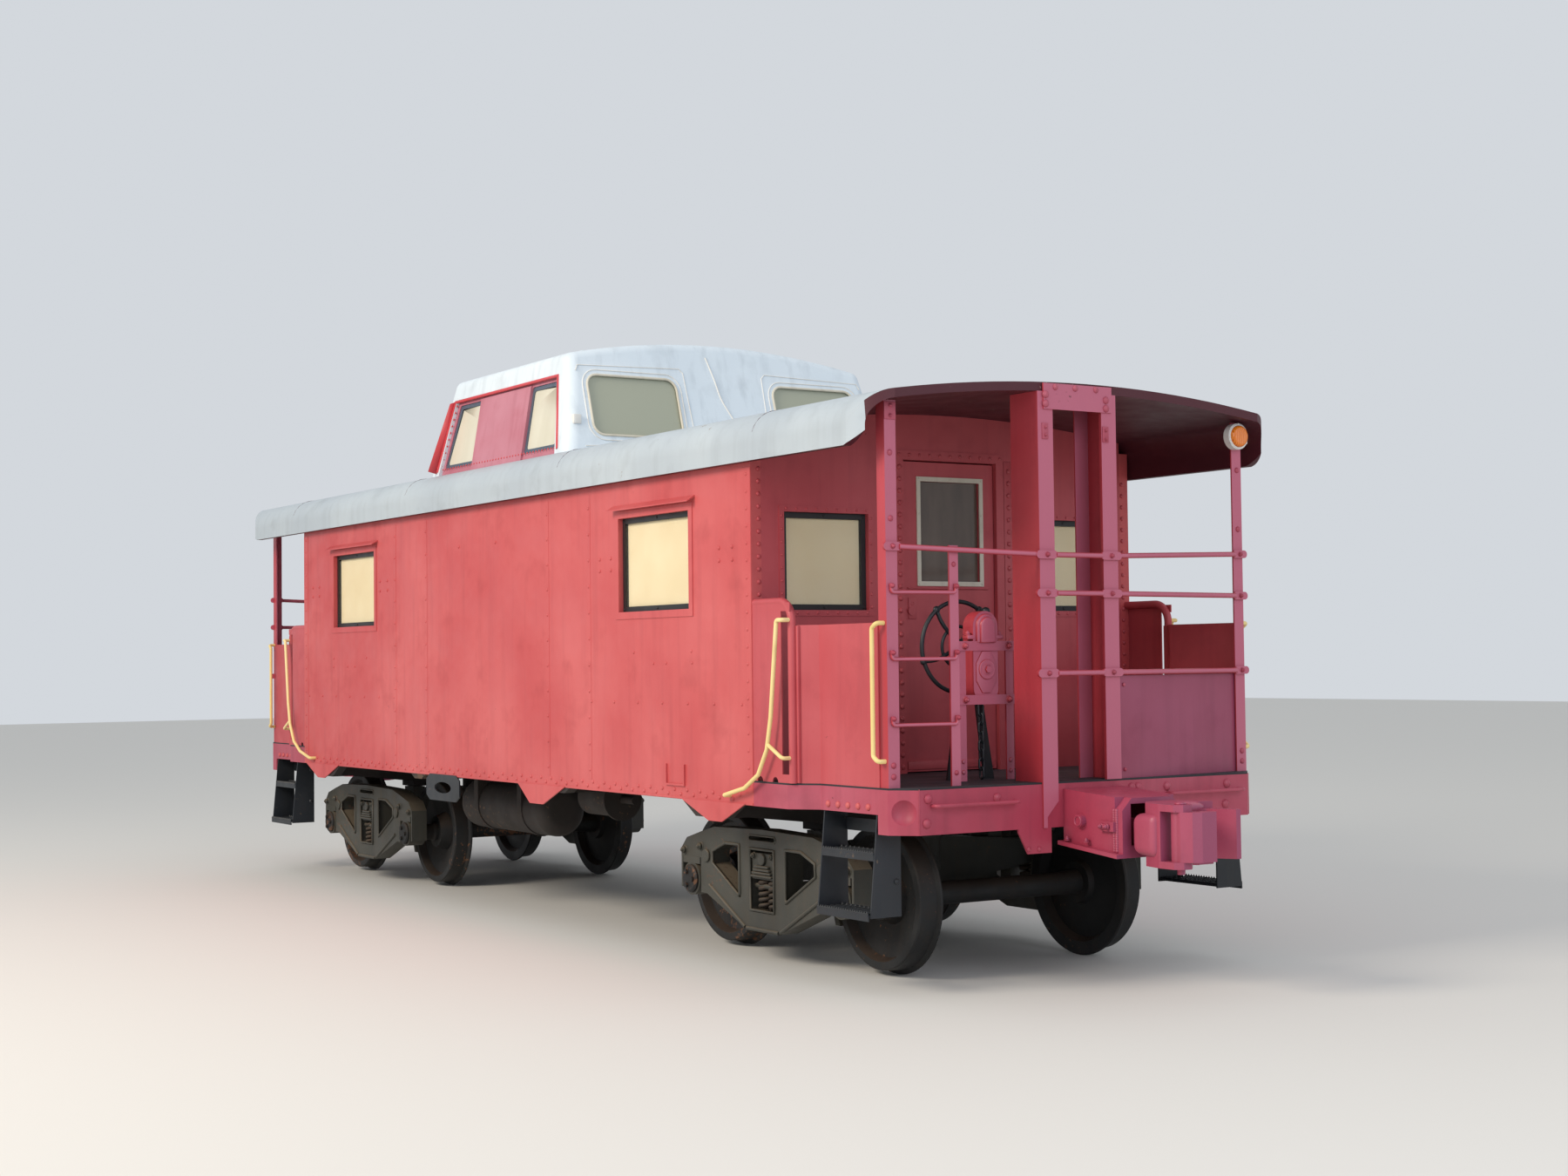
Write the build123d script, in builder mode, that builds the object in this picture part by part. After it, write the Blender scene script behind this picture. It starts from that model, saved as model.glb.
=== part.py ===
from build123d import *
import os
from math import cos, radians, sin, sqrt

# Caboose on two four-wheel trucks.
# Millimetres. X runs along the car, the ladder of the +X end stands on the -Y side,
# Z is up and zero is the lowest point of the wheel flanges. The two ends are alike,
# each one being the other turned half round about the middle of the car.

# Running gear
tread_radius = 419.0
flange_height = 25.5
flange_width = 30.0
wheel_back_to_back = 1353.0
wheel_width = 140.0
wheel_rim_depth = 52.0
wheel_plate_thickness = 24.0
wheel_hub_radius = 125.0
axle_radius = 76.0
journal_radius = 65.0
wheelbase = 1676.0
truck_centre = 3160.0
frame_line = 1010.0
frame_thickness = 130.0
bearing_radius = 104.0
bearing_length = 136.0
bearing_cap_radius = 88.0
bearing_cap_length = 22.0

# Body and platforms
body_half_length = 3660.0
body_half_width = 1440.0
wall_thickness = 70.0
platform_length = 1275.0
platform_half_width = 1318.0
corner_cut = 123.0
taper_start_reach = 360.0
taper_end_reach = 510.0
sill_plate = 14.0
deck_thickness = 10.0

# Heights
deck_top = 1130.0
sill_bottom = 985.0
end_sill_bottom = 880.0
eave_bottom = 2965.0
roof_crown = 3355.0
roof_shoulder = 3262.0
shoulder_half_width = 1300.0
eave_overhang = 65.0
roof_end_overhang = 5.0
roof_thickness = 50.0
shoulder_radius = 190.0
coupler_height = 872.0
shank_half = 70.0

# Openings in the walls
side_window_centre = 2505.0
side_window_width = 888.0
side_window_height = 598.0
side_window_sill = 2137.0
end_window_centre = 915.0
end_window_width = 599.0
end_window_height = 575.0
end_window_sill = 2112.0
side_surround = 45.0
end_surround = 35.0
door_surround = 58.0
surround_proud = 6.0
sash_width = 34.0
sash_depth = 30.0
pane_thickness = 6.0
door_opening_width = 710.0
door_opening_top = 3025.0
hinge_heights = [1330.0, 2080.0, 2830.0]
hinge_length = 90.0
hinge_leaf = 22.0

# Fits
seat = 0.3
running_gap = 6.0

# Worked out from the values above
axle_height = tread_radius + flange_height
platform_half_length = body_half_length + platform_length
taper_start = body_half_length + taper_start_reach
taper_end = body_half_length + taper_end_reach
roof_half_width = body_half_width + eave_overhang
roof_half_length = platform_half_length + roof_end_overhang
deck_under = deck_top - deck_thickness
wheel_inner_face = wheel_back_to_back / 2
wheel_outer_face = wheel_inner_face + wheel_width
wall_inner = body_half_width - wall_thickness
end_wall_inner = body_half_length - wall_thickness
frame_outer_face = frame_line + frame_thickness / 2
frame_inner_face = frame_line - frame_thickness / 2
crown_drop = roof_crown - roof_shoulder
crown_radius = (shoulder_half_width**2 + crown_drop**2) / (2 * crown_drop)

os.makedirs("parts", exist_ok=True)


def save(builder, name):
    """Label a finished piece and write it out."""
    builder.part.label = name
    export_step(builder.part, f"parts/{name}.step")


def turned(shape):
    """The same shape at the other end of the car."""
    return shape.rotate(Axis.Z, 180)


def crown_height(y, depth=0.0):
    """Height of the roof's flat arc at y, depth below the outer skin."""
    return roof_crown - crown_radius + sqrt((crown_radius - depth) ** 2 - y**2)


def roof_outline(depth, bottom):
    """Closed section of the roof at the given depth under its skin."""
    half = roof_half_width - depth
    top = crown_height(half, depth)
    with BuildSketch(Plane.YZ) as outline:
        with BuildLine():
            ThreePointArc((-half, top), (0, roof_crown - depth), (half, top))
            Polyline((half, top), (half, bottom), (-half, bottom), (-half, top))
        make_face()
        upper = outline.vertices().sort_by(Axis.Y)[-2:]
        fillet(upper, shoulder_radius - depth)
    return outline.sketch


# Wheelsets
# One forged wheel section is spun, then repeated on the other side of the axle.
with BuildPart() as wheelset_blank:
    with BuildSketch(Plane.YZ):
        rim_inner = tread_radius - wheel_rim_depth
        mid_plate = wheel_inner_face + wheel_width * 0.42
        hub_face = wheel_inner_face - 18
        with BuildLine():
            Polyline(
                (hub_face, axle_radius - 2),
                (hub_face, wheel_hub_radius),
                (mid_plate - 40, wheel_hub_radius + 12),
                (mid_plate - 4, rim_inner - 30),
                (wheel_inner_face, rim_inner - 4),
                (wheel_inner_face, tread_radius + flange_height - 8),
                (wheel_inner_face + 9, tread_radius + flange_height),
                (wheel_inner_face + 18, tread_radius + flange_height - 3),
                (wheel_inner_face + flange_width, tread_radius + 1),
                (wheel_outer_face - 8, tread_radius - 6),
                (wheel_outer_face, tread_radius - 13),
                (wheel_outer_face, rim_inner - 4),
                (mid_plate + wheel_plate_thickness, rim_inner - 26),
                (mid_plate - 12, wheel_hub_radius + 30),
                (wheel_outer_face - 4, wheel_hub_radius),
                (wheel_outer_face - 4, axle_radius - 2),
                close=True,
            )
        make_face()
    revolve(axis=Axis.Y)
    mirror(about=Plane.XZ)
    with BuildSketch(Plane.YZ):
        cap_start = frame_line + bearing_length / 2 + seat
        with BuildLine():
            Polyline(
                (0, 0),
                (0, axle_radius - 8),
                (wheel_inner_face - 150, axle_radius - 8),
                (wheel_inner_face - 60, axle_radius),
                (wheel_outer_face + 20, axle_radius),
                (wheel_outer_face + 36, journal_radius),
                (cap_start, journal_radius),
                (cap_start, bearing_cap_radius),
                (cap_start + bearing_cap_length * 0.6, bearing_cap_radius),
                (cap_start + bearing_cap_length, bearing_cap_radius - 12),
                (cap_start + bearing_cap_length, 0),
                close=True,
            )
        make_face()
        mirror(about=Plane.YZ)
    revolve(axis=Axis.Y)
    # Three cap screws on each bearing's end.
    for side in (1, -1):
        with BuildSketch(Plane.XZ.offset(side * (cap_start + bearing_cap_length))):
            with PolarLocations(bearing_cap_radius * 0.55, 3):
                RegularPolygon(17, 6)
        extrude(amount=side * 14)

axle_places = [
    ("wheelset_1", truck_centre + wheelbase / 2),
    ("wheelset_2", truck_centre - wheelbase / 2),
    ("wheelset_3", -truck_centre + wheelbase / 2),
    ("wheelset_4", -truck_centre - wheelbase / 2),
]
for name, axle_x in axle_places:
    with BuildPart() as wheelset:
        add(wheelset_blank.part.moved(Location((axle_x, 0, axle_height))))
    save(wheelset, name)

# Truck side frames
# Outline points are distance from the truck's centre and height, for one half.
frame_top = 800.0
frame_bottom = 188.0
frame_end = wheelbase / 2 + 132
pedestal_half_gap = 112.0
pedestal_roof = axle_height + bearing_radius + 34
spring_opening_half = 145.0
spring_opening_bottom = 300.0
spring_opening_top = 690.0

frame_half = [
    (0, frame_top),
    (560, frame_top - 14),
    (720, frame_top - 52),
    (900, frame_top - 100),
    (frame_end, frame_top - 170),
    (frame_end, axle_height - 60),
    (wheelbase / 2 + pedestal_half_gap, axle_height - 60),
    (wheelbase / 2 + pedestal_half_gap, pedestal_roof),
    (wheelbase / 2 - pedestal_half_gap, pedestal_roof),
    (wheelbase / 2 - pedestal_half_gap, axle_height - 80),
    (wheelbase / 2 - pedestal_half_gap - 70, axle_height - 80),
    (190, frame_bottom),
    (0, frame_bottom),
]
window_half = [
    (250, 700),
    (430, 700),
    (590, 640),
    (590, 560),
    (262, 372),
    (250, 372),
]

with BuildPart() as side_frame:
    with BuildSketch(Plane.XZ):
        with BuildLine():
            Polyline(*frame_half)
            Polyline(*[(-x, z) for x, z in frame_half])
        make_face()
        for way in (1, -1):
            with BuildSketch(mode=Mode.SUBTRACT) as window:
                with BuildLine():
                    Polyline(*[(way * x, z) for x, z in window_half], close=True)
                make_face()
                fillet(window.vertices().sort_by(Axis.Y)[-3:], 26)
        with Locations((0, (spring_opening_bottom + spring_opening_top) / 2)):
            RectangleRounded(
                2 * spring_opening_half,
                spring_opening_top - spring_opening_bottom,
                34,
                mode=Mode.SUBTRACT,
            )
    extrude(amount=frame_thickness / 2, both=True)
    with BuildSketch(Plane.XZ.offset(frame_thickness / 2)):
        with Locations((0, 745)):
            SlotOverall(300, 34)
    extrude(amount=-frame_thickness, mode=Mode.SUBTRACT)
    # Bearing adapters and cups hang under the pedestal roofs.
    for way in (1, -1):
        with BuildSketch(Plane.XZ):
            with Locations((way * wheelbase / 2, pedestal_roof - 20)):
                Rectangle(2 * bearing_radius, 44)
            with Locations((way * wheelbase / 2, axle_height)):
                Circle(bearing_radius)
        extrude(amount=bearing_length / 2, both=True)
        with BuildSketch(Plane.XZ):
            with Locations((way * wheelbase / 2, axle_height)):
                Circle(journal_radius + seat)
        extrude(amount=bearing_length, both=True, mode=Mode.SUBTRACT)

# Truck bolster, springs and brake gear
bolster_half_width = 125.0
bolster_bottom = 500.0
bolster_top = 655.0
bolster_end = frame_outer_face - 8
bowl_radius = 190.0
bowl_floor = 720.0
bowl_rim = 752.0
centre_plate_radius = 172.0
side_bearing_line = 635.0

with BuildPart() as bolster_blank:
    with BuildSketch(Plane.YZ):
        with BuildLine():
            half = [
                (0, bowl_floor - 20),
                (260, bowl_floor - 20),
                (frame_inner_face - 60, bolster_top),
                (bolster_end, bolster_top),
                (bolster_end, bolster_bottom),
                (frame_inner_face - 60, bolster_bottom),
                (300, bolster_bottom - 90),
                (0, bolster_bottom - 110),
            ]
            Polyline(*half)
            Polyline(*[(-y, z) for y, z in half])
        make_face()
    extrude(amount=bolster_half_width, both=True)
    with BuildSketch(Plane.XY.offset(bolster_bottom)):
        Circle(bowl_radius + 22)
    extrude(amount=bowl_rim - bolster_bottom)
    with BuildSketch(Plane.XY.offset(bowl_floor)):
        Circle(bowl_radius)
    extrude(amount=bowl_rim - bowl_floor, mode=Mode.SUBTRACT)
    with BuildSketch(Plane.XY.offset(bolster_top)):
        with Locations((0, side_bearing_line), (0, -side_bearing_line)):
            Rectangle(180, 110)
    extrude(amount=120)

coil_radius = 50.0
coil_offset = 58.0
with BuildPart() as spring_blank:
    # Coil springs stand on the lower chord of each side frame.
    coil_top = bolster_bottom - seat
    coil_bottom = spring_opening_bottom + seat
    for side in (1, -1):
        for offset_x in (-coil_offset, coil_offset):
            with BuildSketch(Plane.XY.offset(coil_bottom)):
                with Locations((offset_x, side * frame_line)):
                    Circle(coil_radius)
            extrude(amount=coil_top - coil_bottom)

brake_beam_height = 395.0
shoe_gap = 10.0
shoe_depth = 44.0
shoe_width = 84.0
shoe_line = wheel_inner_face + wheel_width * 0.6
with BuildPart() as brake_blank:
    for way in (1, -1):
        centre = (way * wheelbase / 2, axle_height)
        inner_arc = tread_radius + flange_height + shoe_gap
        with BuildSketch(Plane.XZ):
            with Locations(centre):
                Circle(inner_arc + shoe_depth)
                Circle(inner_arc, mode=Mode.SUBTRACT)
            with Locations((way * (wheelbase / 2 - inner_arc), brake_beam_height)):
                Rectangle(4 * shoe_depth, 300, mode=Mode.INTERSECT)
        extrude(amount=shoe_line + shoe_width / 2, both=True)
        with BuildSketch(Plane.XZ):
            with Locations((way * (wheelbase / 2 - inner_arc - 20), brake_beam_height)):
                Rectangle(4 * shoe_depth, 400)
        extrude(amount=shoe_line - shoe_width / 2, both=True, mode=Mode.SUBTRACT)
    for way in (1, -1):
        beam_x = way * (wheelbase / 2 - inner_arc - shoe_depth - 22)
        with BuildSketch(Plane.XZ):
            with Locations((beam_x, brake_beam_height)):
                Rectangle(52, 76)
        extrude(amount=frame_inner_face - seat, both=True)

truck_ends = [("truck_near", 1), ("truck_far", -1)]
for name, way in truck_ends:
    centre = Location((way * truck_centre, 0, 0))
    with BuildPart() as frames:
        add(side_frame.part.moved(centre * Location((0, -frame_line, 0))))
        add(side_frame.part.moved(centre * Location((0, frame_line, 0))))
    save(frames, f"{name}_frames")
    with BuildPart() as bolster:
        add(bolster_blank.part.moved(centre))
    save(bolster, f"{name}_bolster")
    with BuildPart() as springs:
        add(spring_blank.part.moved(centre))
    save(springs, f"{name}_springs")
    with BuildPart() as brakes:
        add(brake_blank.part.moved(centre))
    save(brakes, f"{name}_brakes")

# Underframe
# Centre sill, body bolsters over the trucks, cross-bearers and inner side sills.
centre_sill_half = 165.0
centre_sill_bottom = 850.0
centre_sill_wall = 16.0
centre_sill_end = 4780.0
bolster_length = 320.0
bolster_end_length = 640.0
bolster_end_depth = 92.0
body_bolster_bottom = 832.0
cross_bearer_place = 1200.0
cross_bearer_length = 270.0
cross_bearer_depth = 36.0
side_sill_inner = 1310.0
under_wall = sill_bottom - seat

with BuildPart() as underframe:
    with BuildSketch(Plane.YZ):
        with Locations((0, (deck_under + centre_sill_bottom) / 2)):
            Rectangle(2 * centre_sill_half, deck_under - centre_sill_bottom)
    extrude(amount=centre_sill_end, both=True)
    with BuildSketch(Plane.YZ):
        with Locations((0, (deck_under + centre_sill_bottom) / 2 - centre_sill_wall)):
            Rectangle(
                2 * (centre_sill_half - centre_sill_wall),
                deck_under - centre_sill_bottom,
            )
    extrude(amount=centre_sill_end, both=True, mode=Mode.SUBTRACT)
    for side in (1, -1):
        with BuildSketch(Plane.YZ):
            with Locations((side * (side_sill_inner + wall_inner) / 2, (deck_under + sill_bottom) / 2)):
                Rectangle(wall_inner - side_sill_inner, deck_under - sill_bottom)
        extrude(amount=body_half_length, both=True)
    for way in (1, -1):
        bolster_plane = Plane.YZ.offset(way * truck_centre)
        with BuildSketch(bolster_plane):
            with BuildLine():
                half = [
                    (0, deck_under),
                    (wall_inner, deck_under),
                    (wall_inner, under_wall),
                    (body_half_width, under_wall),
                    (body_half_width, under_wall - bolster_end_depth),
                    (wall_inner - 100, under_wall - bolster_end_depth),
                    (frame_inner_face - 200, body_bolster_bottom),
                    (0, body_bolster_bottom),
                ]
                Polyline(*half)
                Polyline(*[(-y, z) for y, z in half])
            make_face()
        extrude(amount=bolster_length / 2, both=True)
        with BuildSketch(Plane.XY.offset(bowl_floor + seat)):
            with Locations((way * truck_centre, 0)):
                Circle(centre_plate_radius)
        extrude(amount=body_bolster_bottom - bowl_floor)
        with BuildSketch(Plane.XY.offset(bolster_top + 120 + running_gap)):
            with Locations(
                (way * truck_centre, side_bearing_line),
                (way * truck_centre, -side_bearing_line),
            ):
                Rectangle(240, 130)
        extrude(amount=body_bolster_bottom - bolster_top - 120)
        # Gusset plates that hang below the side sills.
        gussets = [
            (way * truck_centre, bolster_end_length, bolster_end_depth),
            (way * cross_bearer_place, cross_bearer_length, cross_bearer_depth),
        ]
        for place, length, depth in gussets:
            with BuildSketch(Plane.XZ.offset(-body_half_width)):
                with BuildLine():
                    Polyline(
                        (place - length / 2, under_wall),
                        (place + length / 2, under_wall),
                        (place + length / 4, under_wall - depth),
                        (place - length / 4, under_wall - depth),
                        close=True,
                    )
                make_face()
            extrude(amount=wall_thickness)
            with BuildSketch(Plane.XZ.offset(body_half_width)):
                with BuildLine():
                    Polyline(
                        (place - length / 2, under_wall),
                        (place + length / 2, under_wall),
                        (place + length / 4, under_wall - depth),
                        (place - length / 4, under_wall - depth),
                        close=True,
                    )
                make_face()
            extrude(amount=-wall_thickness)
        with BuildSketch(Plane.YZ.offset(way * cross_bearer_place)):
            with BuildLine():
                half = [
                    (0, deck_under),
                    (wall_inner, deck_under),
                    (wall_inner, under_wall),
                    (body_half_width, under_wall),
                    (body_half_width, under_wall - cross_bearer_depth),
                    (2 * centre_sill_half, under_wall - cross_bearer_depth),
                    (centre_sill_half, centre_sill_bottom),
                    (0, centre_sill_bottom),
                ]
                Polyline(*half)
                Polyline(*[(-y, z) for y, z in half])
            make_face()
        extrude(amount=cross_bearer_length / 5, both=True)
save(underframe, "underframe")


def platform_edge(inset):
    """Plan of one platform from the body's end to the end sill."""
    slope = (body_half_width - platform_half_width) / (taper_end - taper_start)
    cut = inset * (sqrt(2) - 1)
    half = [
        (body_half_length, body_half_width - inset),
        (taper_start - inset * slope / 2, body_half_width - inset),
        (taper_end - inset * slope / 2, platform_half_width - inset),
        (platform_half_length - corner_cut - cut, platform_half_width - inset),
        (platform_half_length - inset, platform_half_width - corner_cut - cut),
    ]
    return half + [(x, -y) for x, y in reversed(half)]


# Platform side sills and end sills, one bent plate with cast pushing pockets
pocket_radius = 68.0
pocket_depth = 34.0
corner_casting_length = 92.0
end_flange = 70.0
hanging_inner = 300.0
hanging_outer = 530.0
hanging_bottom = 742.0
sill_start = body_half_length - 1
with BuildPart() as end_sill:
    with BuildSketch(Plane.XY.offset(sill_bottom)):
        with BuildLine():
            Polyline(*platform_edge(0), close=True)
        make_face()
        with BuildSketch(mode=Mode.SUBTRACT):
            with BuildLine():
                inner = platform_edge(sill_plate)
                Polyline((sill_start, inner[0][1]), *inner, (sill_start, inner[-1][1]), close=True)
            make_face()
    extrude(amount=deck_under - sill_bottom)
    deep_start = platform_half_length - corner_cut - corner_casting_length
    for bottom, top, inset in [
        (end_sill_bottom, sill_bottom, sill_plate),
        (end_sill_bottom, end_sill_bottom + sill_plate, end_flange),
    ]:
        with BuildSketch(Plane.XY.offset(bottom)):
            with BuildLine():
                Polyline(*platform_edge(0), close=True)
            make_face()
            with BuildSketch(mode=Mode.SUBTRACT):
                with BuildLine():
                    inner = platform_edge(inset)
                    Polyline((sill_start, inner[0][1]), *inner, (sill_start, inner[-1][1]), close=True)
                make_face()
            with Locations(((body_half_length + deep_start) / 2, 0)):
                Rectangle(deep_start - body_half_length, 2 * body_half_width, mode=Mode.SUBTRACT)
        extrude(amount=top - bottom)
    # Plates that hang under the sill beside the draft box.
    with BuildSketch(Plane.YZ.offset(platform_half_length - sill_plate)):
        for side in (1, -1):
            with BuildLine():
                Polyline(
                    (side * hanging_inner, end_sill_bottom + sill_plate),
                    (side * hanging_outer, end_sill_bottom + sill_plate),
                    (side * hanging_outer, end_sill_bottom - 15),
                    (side * (hanging_outer - 65), hanging_bottom),
                    (side * hanging_inner, hanging_bottom),
                    close=True,
                )
            make_face()
    extrude(amount=sill_plate)
    for side in (1, -1):
        middle = (
            platform_half_length - corner_cut / 2,
            side * (platform_half_width - corner_cut / 2),
            (deck_under + end_sill_bottom) / 2,
        )
        corner_face = Plane(
            origin=middle,
            x_dir=(-side * sin(radians(45)), cos(radians(45)), 0),
            z_dir=(cos(radians(45)), side * sin(radians(45)), 0),
        )
        with BuildSketch(corner_face):
            Rectangle(corner_cut * sqrt(2) - 2 * sill_plate, deck_under - end_sill_bottom)
        extrude(amount=-pocket_depth - sill_plate)
        ball = (pocket_radius**2 + pocket_depth**2) / (2 * pocket_depth)
        pocket = Sphere(ball, mode=Mode.PRIVATE)
        out = ball - pocket_depth
        reach = cos(radians(45)) * out
        place = (middle[0] + reach, middle[1] + side * reach, middle[2])
        add(pocket.moved(Location(place)), mode=Mode.SUBTRACT)
with BuildPart() as end_sills:
    add(end_sill.part)
    add(turned(end_sill.part))
save(end_sills, "end_sills")

# Deck: the cabin's floor, and a plate cut to the platform plan at each end
with BuildPart() as deck:
    with BuildSketch(Plane.XY.offset(deck_under)):
        Rectangle(2 * (end_wall_inner - seat), 2 * wall_inner)
        for way in (1, -1):
            with BuildSketch() as platform:
                with BuildLine():
                    Polyline(*[(way * x, y) for x, y in platform_edge(0)], close=True)
                make_face()
            with Locations((way * (body_half_length - wall_thickness / 2), 0)):
                Rectangle(wall_thickness, 2 * wall_inner)
    extrude(amount=deck_thickness)
save(deck, "deck")

# Draft boxes, the heavy carriers that hold the couplers out past the end sills
draft_box_half = 213.0
draft_box_start = platform_half_length
draft_box_length = 485.0
draft_box_end = draft_box_start + draft_box_length
draft_box_top = 1090.0
draft_box_bottom = 785.0
front_top = 1058.0
front_bottom = 738.0
front_chamfer = 66.0
draft_box_wall = 30.0
draft_box_floor = 14.0
foot_thickness = 22.0
carrier_length = 60.0
key_height = 905.0
with BuildPart() as draft_box:
    with BuildSketch(Plane.XZ):
        with BuildLine():
            Polyline(
                (draft_box_start, draft_box_top),
                (draft_box_end, front_top),
                (draft_box_end, front_bottom),
                (draft_box_start, draft_box_bottom),
                close=True,
            )
        make_face()
    extrude(amount=draft_box_half, both=True)
    # Chamfered upper corners of the front.
    with BuildSketch(Plane.YZ.offset(draft_box_end)):
        for side in (1, -1):
            with BuildLine():
                Polyline(
                    (side * (draft_box_half - front_chamfer), front_top),
                    (side * (draft_box_half - front_chamfer), front_top + front_chamfer),
                    (side * (draft_box_half + front_chamfer), front_top + front_chamfer),
                    (side * draft_box_half, front_top - front_chamfer),
                    close=True,
                )
            make_face()
    extrude(amount=-draft_box_wall * 2, mode=Mode.SUBTRACT)
    with BuildSketch(Plane.XZ):
        with BuildLine():
            Polyline(
                (draft_box_start, draft_box_top - draft_box_wall),
                (draft_box_end, front_top - draft_box_wall),
                (draft_box_end, front_bottom + draft_box_floor),
                (draft_box_start, draft_box_bottom + draft_box_floor),
                close=True,
            )
        make_face()
    extrude(amount=draft_box_half - 2 * draft_box_wall, both=True, mode=Mode.SUBTRACT)
    # Foot flanges along both lower edges.
    for side in (1, -1):
        with BuildSketch(Plane.XZ.offset(side * draft_box_half)):
            with BuildLine():
                Polyline(
                    (draft_box_start, draft_box_bottom),
                    (draft_box_end, front_bottom),
                    (draft_box_end, front_bottom + foot_thickness),
                    (draft_box_start, draft_box_bottom + foot_thickness),
                    close=True,
                )
            make_face()
        extrude(amount=side * 45)
    # Carrier under the coupler's shank.
    with BuildSketch(Plane.XY.offset(front_bottom + 10)):
        with Locations((draft_box_end - carrier_length / 2, 0)):
            Rectangle(carrier_length, 2 * draft_box_half - 40)
    extrude(amount=coupler_height - shank_half - seat - front_bottom - 10)
    for side in (1, -1):
        key_face = Plane.XZ.offset(side * draft_box_half)
        with BuildSketch(key_face):
            with Locations((draft_box_end - 105, key_height)):
                Rectangle(120, 52)
        extrude(amount=side * 26)
        with BuildSketch(key_face):
            with Locations((draft_box_end - 330, key_height + 18)):
                Circle(36)
        extrude(amount=side * 30)
with BuildPart() as draft_boxes:
    add(draft_box.part)
    add(turned(draft_box.part))
save(draft_boxes, "draft_boxes")

# Couplers: shank in the draft box, head with a guard arm, knuckle on its pin
shank_start = platform_half_length + 60
head_start = draft_box_end + 50
pin_x = draft_box_end + 345
pin_y = -118.0
knuckle_height = 262.0
knuckle_pin_radius = 21.0
knuckle_hub_radius = 50.0
knuckle_space = 78.0
knuckle_lug = 37.0
lug_bottom = coupler_height - knuckle_height / 2 - knuckle_lug
with BuildPart() as coupler:
    with BuildSketch(Plane.YZ.offset(shank_start)):
        with Locations((0, coupler_height)):
            Rectangle(2 * shank_half, 2 * shank_half)
    extrude(amount=head_start + 60 - shank_start)
    # Lugs round the pin, throat, and guard arm on the far side of the mouth.
    with BuildSketch(Plane.XY.offset(lug_bottom)):
        with BuildLine():
            Polyline(
                (head_start, pin_y + 30),
                (head_start + 70, pin_y - 40),
                (pin_x - 90, pin_y - 72),
                (pin_x + 20, pin_y - 70),
                (pin_x + 58, pin_y - 34),
                (pin_x + 62, pin_y + 16),
                (pin_x + 20, pin_y + 62),
                (pin_x - 100, pin_y + 108),
                (pin_x - 120, 60),
                (pin_x - 60, 128),
                (pin_x + 40, 192),
                (pin_x + 72, 212),
                (pin_x + 76, 240),
                (pin_x + 30, 258),
                (pin_x - 90, 214),
                (pin_x - 200, 152),
                (head_start, 88),
                close=True,
            )
        make_face()
    extrude(amount=knuckle_height + 2 * knuckle_lug)
    # The guard arm is as high as the knuckle, without the lugs' thickness.
    for bottom, top in [
        (lug_bottom, lug_bottom + knuckle_lug),
        (lug_bottom + knuckle_lug + knuckle_height, lug_bottom + 2 * knuckle_lug + knuckle_height),
    ]:
        with BuildSketch(Plane.XY.offset(bottom)):
            with Locations((pin_x + 20, 180)):
                Rectangle(240, 170)
        extrude(amount=top - bottom, mode=Mode.SUBTRACT)
    # Space between the lugs for the knuckle's hub and tail.
    with BuildSketch(Plane.XY.offset(lug_bottom + knuckle_lug)):
        with BuildLine():
            Polyline(
                (pin_x - knuckle_space, pin_y - 2 * knuckle_space),
                (pin_x - knuckle_space, pin_y + knuckle_space),
                (pin_x - 130, 40),
                (pin_x + 200, 40),
                (pin_x + 200, pin_y - 2 * knuckle_space),
                close=True,
            )
        make_face()
    extrude(amount=knuckle_height, mode=Mode.SUBTRACT)
    with BuildSketch(Plane.XY.offset(lug_bottom - 30)):
        with Locations((pin_x, pin_y)):
            Circle(knuckle_pin_radius)
    extrude(amount=knuckle_height + 2 * knuckle_lug + 42)
    # Bulge of the head's side behind the knuckle.
    with BuildSketch(Plane.XY.offset(coupler_height - 62)):
        with Locations((pin_x - 190, pin_y - 30)):
            RectangleRounded(170, 110, 40)
    extrude(amount=124)
with BuildPart() as couplers:
    add(coupler.part)
    add(turned(coupler.part))
save(couplers, "couplers")

with BuildPart() as knuckle:
    with BuildSketch(Plane.XY.offset(coupler_height - knuckle_height / 2 + seat)):
        with Locations((pin_x, pin_y)):
            Circle(knuckle_hub_radius)
        with BuildLine():
            Polyline(
                (pin_x - 8, pin_y - 46),
                (pin_x + 45, pin_y - 46),
                (pin_x + 98, pin_y - 8),
                (pin_x + 122, pin_y + 38),
                (pin_x + 126, 18),
                (pin_x + 104, 34),
                (pin_x + 70, 30),
                (pin_x + 46, pin_y + 82),
                (pin_x, pin_y + 49),
                close=True,
            )
        make_face()
        with Locations((pin_x, pin_y)):
            Circle(knuckle_pin_radius + seat, mode=Mode.SUBTRACT)
    extrude(amount=knuckle_height - 2 * seat)
save(knuckle, "knuckle_near")
with BuildPart() as far_knuckle:
    add(turned(knuckle.part))
save(far_knuckle, "knuckle_far")

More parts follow.
